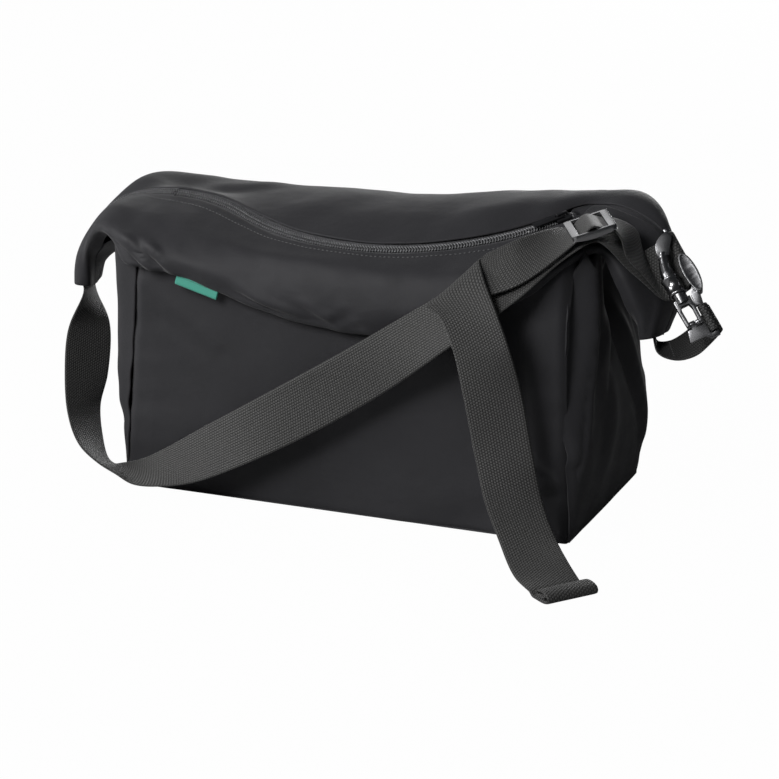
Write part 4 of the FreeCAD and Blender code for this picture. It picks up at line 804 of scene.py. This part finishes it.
def front_stations():
    """Rows of the front yoke, from the left sleeve to the right one."""
    left = [[(-161, -86, 171), (-161, -87, 182), (-161, -62, 197), zip_edge(-157, WINDOW)],
            [(-138, -88.5, 169.5), (-138, -89.5, 180), (-138, -67, 194.5),
             zip_edge(-138, WINDOW)]]
    right = [[(138, -82, 176), (139, -82, 184), (139, -60, 197), zip_edge(138, WINDOW)],
             [(144, -79.5, 180.5), (145, -79, 187.5), (145, -53, 199), zip_edge(144.5, WINDOW)],
             [(152, -74, 188), (153, -73, 193), (153, -42, 201.5), zip_edge(152, CLOSING)]]
    middle = [front_row(*station) for station in FRONT_LIP]
    return LEFT_FRONT + left + middle + right + RIGHT_FRONT


def slackened(net, outward, hold, lumps, folds, lip=0.0):
    """Half of the top with lumps that its edges hold, a loose lip and folds."""
    u, v = net_lengths(net)
    normals = net_normals(net)
    if normals[80, 12] @ outward < 0:
        normals = -normals
    span = v / v.max()
    slack = sum(height * MM * drift(u, v, size, seed) for height, size, seed in lumps)
    slack *= np.sin(math.pi * np.clip(span * hold + 0.04, 0, 1)) ** 0.6
    slack += lip * MM * drift(u, v * 0.3, 0.03, 47) * np.exp(-span / 0.16)
    for fold in folds:
        slack += ridge(net, *fold)
    return net + normals * slack[..., None]


ROLL_RADIUS, ROLL_TURN = 2.6 * MM, 62


def rolled(front, u):
    """Front half with three more rows, rolled inward where its lip hangs free."""
    free = np.clip((u - 0.1) / 0.03, 0, 1) * np.clip((0.37 - u) / 0.03, 0, 1)
    roll = []
    for share in (3, 2, 1):
        turn = math.radians(ROLL_TURN * share)
        drop = np.stack([free * 0, ROLL_RADIUS * (1 - math.cos(turn)) * free,
                         -ROLL_RADIUS * math.sin(turn) * free], axis=1)
        roll.append(front[:, 0] + drop + np.array([0, 0.15 * MM * share, -0.02 * MM * share]))
    return np.concatenate([np.array(roll).transpose(1, 0, 2), front], axis=1)


def yoke():
    """Front and back halves of the top, with a rolled lip and a slack, creased skin."""
    net = refined(np.array(front_stations(), float) * MM, 9, 12)
    front = slackened(net, (0, -1, 0), 0.9, ((0.8, 0.07, 41), (0.45, 0.028, 43)), YOKE_FOLDS, 0.9)
    front = rolled(front, net_lengths(net)[0][:, 0])
    cloth("cloth_yoke_front", front, YOKE, "nylon_fabric", ["yoke_front"])

    net = np.array(LEFT_BACK + [back_row(x) for x in BACK_STATIONS] + RIGHT_BACK, float) * MM
    back = slackened(refined(net, 9, 12), (0, 0, 1), 0.92, ((1.2, 0.11, 51), (0.5, 0.035, 53)),
                     BACK_FOLDS)
    cloth("cloth_yoke_back", back, YOKE, "nylon_fabric", ["yoke_back"])
    return front, back


BACK_STATIONS = (-157, -138, -118, -50, 20, 80, 120, 136, 144.5, 152)
# start, end, width, height
YOKE_FOLDS = [
    ((-170, -82, 190), (-134, -90, 166), 3.6, 4.6), ((-152, -86, 192), (-120, -91, 168), 3.6, 3.2),
    ((-176, -78, 196), (-140, -86, 180), 6, 1.8), ((-72, -92, 166), (-44, -92, 152), 4, 2.6),
    ((-60, -92, 158), (-20, -92, 148), 3.6, 2.2), ((-22, -92, 160), (6, -92, 143), 4, 3.2),
    ((-4, -92, 158), (10, -92, 142), 3, -2.6), ((10, -90, 162), (26, -92, 144), 3.6, 2.6),
    ((-96, -90, 172), (-60, -88, 186), 12, 1.2),
]
BACK_FOLDS = [
    ((-150, 10, 206), (-90, 34, 206), 10, 1.6), ((-60, -30, 200), (-20, 30, 206), 16, 1.2),
    ((40, -30, 204), (90, 34, 214), 18, -1.4), ((120, -10, 214), (150, 36, 222), 12, 1.2),
]

# x, hem's depth and height where the lip climbs to the slide
LIP_END = [(122, -85.5, 168), (138, -82, 176), (144, -79.5, 180.5), (152, -74, 188)]


def facing():
    """Strip that joins the front panel's top to the inside of the lip."""
    net = []
    for x, seat, hem in [(row[0], LIP, row[1]) for row in FRONT_LIP] + LIP_END:
        tuck, climb = gathered(x * MM, PANEL_TOP)
        top = (FRONT + tuck) / MM - 0.6
        high = PANEL_TOP_MM + max(climb / MM, 0) - 1
        net.append([(x, top, high), (x, (top + seat + 3) / 2, max(high, hem + 8) - 2),
                    (x, seat + 3.1, hem + 3)])
    net = refined(np.array(net, float) * MM, 8, 6)
    u, v = net_lengths(net)
    net[..., 1] += 0.25 * MM * drift(u, v, 0.03, 61)
    return cloth("cloth_lip_facing", net, 0.6 * MM, "nylon_fabric", ["lip_facing"])


def lining():
    """Slack inner bag, open at the top."""
    low, high = node_box("lining")
    turn = np.linspace(0, math.tau, 160, endpoint=False)
    c, s = np.cos(turn), np.sin(turn)
    reach = (np.abs(c) ** 24 + np.abs(s) ** 24) ** (-1 / 24)
    rings = []
    for z in np.linspace(low[2] + 0.3 * MM, high[2], 26):
        share = (z - low[2]) / (high[2] - low[2])
        half_x = high[0] - 0.6 * MM - (FOOT_HALF - TOP_HALF + RECESS) * share
        half_y = high[1] - 0.6 * MM
        rings.append(np.stack([c * reach * half_x, s * reach * half_y, z + 0 * c], axis=1))
    net = np.array(rings)
    inward = np.clip(1 - 8 * MM / np.linalg.norm(net[..., :2], axis=2), 0, 1)
    u, v = net_lengths(net)
    net[..., :2] *= (1 - 0.004 * (1 + drift(v, u, 0.05, 71)) * inward)[..., None]
    rows, columns = net.shape[:2]
    index = np.arange(rows * columns).reshape(rows, columns)
    around = np.roll(index, -1, axis=1)
    faces = np.stack([index[:-1], around[:-1], around[1:], index[1:]], axis=-1)
    faces = faces.reshape(-1, 4).tolist() + [tuple(index[0][::-1])]
    piece = link_mesh("cloth_lining", net.reshape(-1, 3), faces, looks["lining_fabric"],
                      np.stack([v.ravel(), u.ravel()], axis=1))
    solid = piece.modifiers.new("thickness", "SOLIDIFY")
    solid.thickness = 0.5 * MM
    return dressed(piece, ["lining"])


# ---- webbing ----

WEBBING = 1.5 * MM
STRAP, ANCHOR_WIDTH = 40.0, 24.0
GAP = 0.3

# Stations of the strap: centre, direction across, share of the width.
LEFT_LOOP = [
    ((-228.5, -19, 137), (0.25, -0.96, 0.12), 0.95), ((-223, -26, 127), (0.25, -0.94, 0.23), 1),
    ((-217, -40, 105), (-0.38, -0.92, 0.11), 1), ((-210, -60, 75), (-0.43, -0.87, 0.24), 1),
    ((-203, -78, 53), (-0.15, -0.98, 0.09), 1), ((-192, -90, 35), (0.04, -0.99, 0.14), 1),
    ((-180, -96, 23), (0.27, -0.93, 0.24), 1), ((-169, -98, 18), (0.47, -0.87, 0.15), 1),
    ((-158, -99, 16), (0.62, -0.78, -0.08), 1), ((-136, -99, 20), (0.78, -0.58, -0.24), 1),
    ((-116, -98, 28), (0.76, -0.49, -0.42), 1),
]
FRONT_RUN = [
    ((-89, -99, 43), (0.66, -0.42, -0.62), 1), ((-33, -100, 76), (0.56, -0.05, -0.83), 1),
    ((27, -102, 115), (0.7, 0, -0.72), 1), ((77, -103, 151.5), (0.76, -0.4, -0.5), 1),
    ((124, -83, 185), (0.62, -0.66, -0.43), 1), ((149, -52.5, 203.5), (0.58, -0.8, -0.12), 1),
]
UNDER_RUN = [
    ((169.4, -39.5, 211.2), (0.442, -0.889, 0.03), 1), ((181, -37.7, 210), (0.25, -0.96, -0.1), 1),
    ((193, -36, 202.4), (0.2, -0.93, -0.3), 1), ((202, -35, 195.4), (0.35, -0.78, -0.52), 1),
]
UPPER_RUN = [
    ((203, -35.5, 200.2), (0.35, -0.78, -0.52), 1), ((195, -35.5, 208.2), (0.2, -0.93, -0.3), 1),
    ((187.5, -34, 215.6), (0.35, -0.93, -0.1), 1),
]
TAIL_HEAD = [
    ((151.7, -50.8, 209.2), (0.46, -0.87, -0.15), 1),
    ((130.2, -76.8, 197.6), (0.24, -0.74, -0.62), 1),
    ((109, -86, 189.5), (-0.2, -0.72, -0.66), 1.1),
    ((92, -92.7, 184.4), (-0.5, -0.66, -0.58), 1.2),
]
TAIL = [
    ((94.1, -103, 180.9), (-0.78, -0.48, -0.45), 1.1),
    ((107, -111.6, 167.5), (-0.98, -0.15, -0.16), 1),
    ((116.7, -113.4, 146.6), (-0.98, -0.04, -0.17), 1),
    ((124, -110, 115), (-0.97, -0.2, -0.16), 1),
    ((133, -109, 70), (-0.97, -0.2, -0.12), 1), ((142, -113, 39), (-0.92, -0.38, 0.05), 1),
    ((155, -123, 19), (-0.9, -0.43, 0.05), 1), ((173, -145, 7.5), (-0.75, -0.64, -0.1), 1),
    ((188, -160, 3), (-0.62, -0.78, 0), 1),
]

ANCHOR = [
    ((209, -20, 141), (0.3, -0.95, 0), 0.95), ((213, -24, 133), (0.35, -0.93, -0.1), 1),
    ((226, -31, 133.5), (0.45, -0.83, -0.3), 1), ((240.5, -37.5, 142), (0.5, -0.7, -0.5), 1),
    ((250.5, -41.5, 152.5), (0.5, -0.6, -0.6), 0.95),
]


def unit(vector):
    """Vector of length one along the given one."""
    vector = np.asarray(vector, float)
    return vector / np.linalg.norm(vector)


def frame_of(origin, right, up):
    """Origin and axes of a frame whose X runs along right and whose Y lies towards up."""
    x = unit(right)
    z = unit(np.cross(x, up))
    return np.array(origin, float), np.stack([x, np.cross(z, x), z])


ADJUSTER = frame_of((168, -40, 218), (0.85, 0.43, 0.30), (-0.442, 0.889, -0.03))
HOOK_X = np.array(joints["arm_pivot"]["axis"])
HOOK_Y = -np.array(joints["sleeve_slide"]["axis"])
HOOK = (np.array(joints["arm_pivot"]["pos_m"]) / MM, np.stack([HOOK_X, HOOK_Y,
                                                              np.cross(HOOK_X, HOOK_Y)]))


def placed(place, x, y, z):
    """Point of a frame in the row frame, in millimetres."""
    return place[0] + np.array([x, y, z], float) @ place[1]


# The slide's window; the hook's peg, the shank beside it, its top, its rail and its slot.
SLIDE_REACH, SLIDE_WAVE = 13.0, 3.0
PEG_PLACE, PEG_RADIUS, SHANK_RADIUS, FRAME_TOP = 13.5, 2.6, 7.4, 25.5
RAIL_PLACE, RAIL_RADIUS, SLOT = 10.4, math.hypot(2.8, 3.0) / 2, 22


def adjuster_wave():
    """Upper layer through the slide: under the end bars and over the middle one."""
    stations = []
    for k in range(-4, 5):
        along = SLIDE_REACH * k / 4
        height = SLIDE_WAVE * math.cos(math.pi * along / SLIDE_REACH)
        stations.append((placed(ADJUSTER, along, 0, height), -ADJUSTER[1][1], 1))
    return stations


def arc(centre, radius, turns):
    """Points on a circle at the given degrees."""
    return [(centre + radius * math.cos(math.radians(turn)), radius * math.sin(math.radians(turn)))
            for turn in turns]


def hook_loop():
    """Stations of the webbing round the peg, between its two layers behind the arm."""
    side, fold = PEG_PLACE, WEBBING / MM
    inner = PEG_RADIUS + GAP / 2 + fold / 2
    behind = -(SHANK_RADIUS + GAP + fold / 2)
    below = behind - fold - GAP
    middle = FRAME_TOP + GAP + STRAP / 2
    near = [(-7.0, behind), (-1.0, behind), (0.37 * side, behind + 1.4),
            (side - 1.4 * inner, -inner)]
    bend = arc(side, inner, range(180, -46, -45))
    far = [(side - 0.1 * inner, -1.5 * inner), (0.63 * side, below + 1.3), (3.0, below),
           (-7.0, below)]
    return [(placed(HOOK, x, middle, z), -HOOK[1][1], 1) for x, z in near + bend + far]


def anchor_loop():
    """Stations of the anchor webbing: up from the bag and round the hook's rail."""
    inner = RAIL_RADIUS + GAP + WEBBING / MM / 2
    turns = [(inner * 1.5, -inner * 1.9)] + arc(0, inner, range(-20, 251, 45))
    share = (SLOT - 4 * GAP) / ANCHOR_WIDTH
    return [(placed(HOOK, RAIL_PLACE + x, -0.5, z), -HOOK[1][1], share) for x, z in turns]


def ribbon(name, stations, width, replaces, look="webbing", tail=()):
    """Length of flat webbing through stations of (centre, direction across, share of width)."""
    net = []
    for centre, across, share in stations:
        reach = unit(across) * width * share / 2
        net.append([centre - reach, centre + 0 * reach, centre + reach])
    net = refined(np.array(net) * MM, 8, 1)
    spread = np.linspace(-1, 1, 13)[None, :, None]
    middle = net[:, 1:2]
    side = np.where(spread < 0, net[:, :1], net[:, 2:])
    net = middle + (side - middle) * np.abs(spread)
    u, v = net_lengths(net)
    net = net + net_normals(net) * (0.22 * MM * drift(u, v, 0.05, 83))[..., None]
    if len(tail):
        net = np.concatenate([net, tail])
    cloth(name, net, WEBBING, "webbing", replaces, look)
    return net


# How far the rolled hem goes on, and its height in thicknesses of the webbing.
HEM = [(2, 0.5), (8, 0.5), (15, 0.6), (20.4, 1.4), (21.4, 2.8), (20, 4.3), (16, 5.1),
       (11.5, 5.1), (8, 4.6), (6.8, 3.5), (8.2, 2.6), (12, 2.5), (16.5, 2.7)]


def hem_rows():
    """Rows of the tail's end, rolled over itself twice on the ground."""
    end, across = (np.array(part, float) for part in TAIL[-1][:2])
    end[2] = across[2] = 0
    across = unit(across)
    forward = np.array([-across[1], across[0], 0])
    spread = np.linspace(-1, 1, 13) * STRAP / 2
    rows = []
    for x, z, _ in eased([(x, z * WEBBING / MM, 0) for x, z in HEM], 3):
        centre = end + forward * x + np.array([0, 0, z])
        rows.append([centre + across * s for s in spread])
    return np.array(rows) * MM


def strap():
    """The shoulder strap as one length of webbing, from the left sleeve to its rolled end."""
    loop = hook_loop()
    threaded = UPPER_RUN + adjuster_wave()[::-1] + TAIL_HEAD
    stations = (LEFT_LOOP + FRONT_RUN + UNDER_RUN + loop[-1:] + loop[-2::-1] + threaded + TAIL)
    parts = ["strap_left_loop", "strap_front_run", "strap_under_run", "strap_hook_loop",
             "strap_threaded_run", "strap_tail", "strap_hem"]
    net = ribbon("web_strap", stations, STRAP, parts, tail=hem_rows())
    # The anchor loop wears the darker copy of the webbing, as painted shade.
    anchor = ribbon("web_anchor", ANCHOR + anchor_loop(), ANCHOR_WIDTH, ["anchor_webbing"],
                    "shaded_webbing")
    return net, anchor


# ---- label, metal ----


# Section of the tab: how far down and how far in.
TAB = [(-3.5, 0.0), (2.0, -0.1), (5.2, -0.25), (6.6, -0.1), (7.35, 0.6), (6.9, 1.35),
       (5.2, 1.7), (1.0, 1.6), (-3.0, 1.3)]


def label():
    """Folded ribbon tab under the lip, left bare, open at its ends."""
    run, down = unit((34, 0, -9)), unit((-9, 0, -34))
    start = np.array([-104.0, node_box("side_label")[0][1] / MM + 0.3, 162.0])
    profile = eased([(low, inward, 0) for low, inward in TAB], 5)
    rows = []
    for along in np.linspace(-16.5, 16.5, 40):
        sag = 0.35 * math.sin(along / 7.0)
        place = start + run * along
        rows.append([place + down * (low + 0.15 * sag) + np.array([0, inward + 0.2 * sag, 0])
                     for low, inward, _ in profile])
    cloth("label_tab", np.array(rows) * MM, 0.45 * MM, "label_fabric", ["side_label"])
    row = [start + run * along + down + np.array([0, -0.5, 0]) for along in (-15.5, 15.5)]
    out = np.array([[0.0, -1.0, 0.0]] * 2)
    stitches("label_stitches", [(np.array(row) * MM, out)], 1.7, 1.2, 0.16)


WELD, SHARP, ROUNDING = 0.01 * MM, math.radians(30), 3


def dress_node(name, slot, bevel):
    """A rigid CAD node as it is, with soft edges and its own finish."""
    node = nodes[name]
    node.data.materials.clear()
    node.data.materials.append(looks[slot])
    node.modifiers.new("weld", "WELD").merge_threshold = WELD
    node.data.polygons.foreach_set("use_smooth", [True] * len(node.data.polygons))
    if bevel:
        edge = node.modifiers.new("soft_edge", "BEVEL")
        edge.width = bevel * MM
        edge.segments = ROUNDING
        edge.limit_method = "ANGLE"
        edge.angle_limit = SHARP
        edge.harden_normals = True
    else:
        node.data.set_sharp_from_angle(angle=SHARP)


# Node, slot, width of its soft edges
RIGID = [("adjuster_frame", "gunmetal", 0.7), ("hook_frame", "gunmetal", 0.45),
         ("hook_arm", "gunmetal", 0.5), ("lock_sleeve", "gunmetal", 0.0),
         ("hook_pin", "steel_pin", 0.25), ("gate_spring", "steel_pin", 0.0),
         ("zipper_slider", "black_metal", 0.35), ("zipper_pull", "black_metal", 0.35),
         ("zipper_stop_left", "black_metal", 0.4), ("zipper_stop_right", "black_metal", 0.4),
         ("base_board", "stiff_board", 0.0)]


# ---- sewing ----


ZIP_SEAM, ZIP_SEWN = 0.93, (-0.21, 0.15)


def between(columns, share):
    """Row of points or normals at a share of the way across a net of them."""
    at = share * (columns.shape[1] - 1)
    low = int(at)
    return columns[:, low] * (1 - at + low) + columns[:, low + 1] * (at - low)


def sew(front, strap_net, anchor_net):
    """Rows of thread along the zipper and across the webbing's ends."""
    normals = net_normals(front)
    if normals[len(front) // 2, front.shape[1] // 2, 2] < 0:
        normals = -normals
    normal = between(normals, ZIP_SEAM)
    line = between(front, ZIP_SEAM) + normal * 0.95 * MM
    keep = (line[:, 0] > ZIP_SEWN[0]) & (line[:, 0] < ZIP_SEWN[1])
    stitches("zipper_stitches", [(line[keep], normal[keep])], 3.3, 2.3, 0.42)

    rows = []
    for net, row in ((strap_net, len(strap_net) - 8), (anchor_net, 8), (anchor_net, 16)):
        normals = net_normals(net)[row, 1:-1]
        for face in (-1, 1):
            rows.append((net[row, 1:-1] + normals * face * 0.85 * MM, normals * face))
    stitches("webbing_stitches", rows, 2.6, 1.9, 0.28)


# ---- scene ----

make_camera()
make_studio()
make_floor()
looks = make_materials()
for node_name, slot_name, soft_edge in RIGID:
    dress_node(node_name, slot_name, soft_edge)
wall(-1)
wall(1)
gusset(-1)
gusset(1)
base()
lining()
zipper()
front_net, back_net = yoke()
closure(front_net, back_net)
facing()
strap_net, anchor_net = strap()
label()
sew(front_net, strap_net, anchor_net)
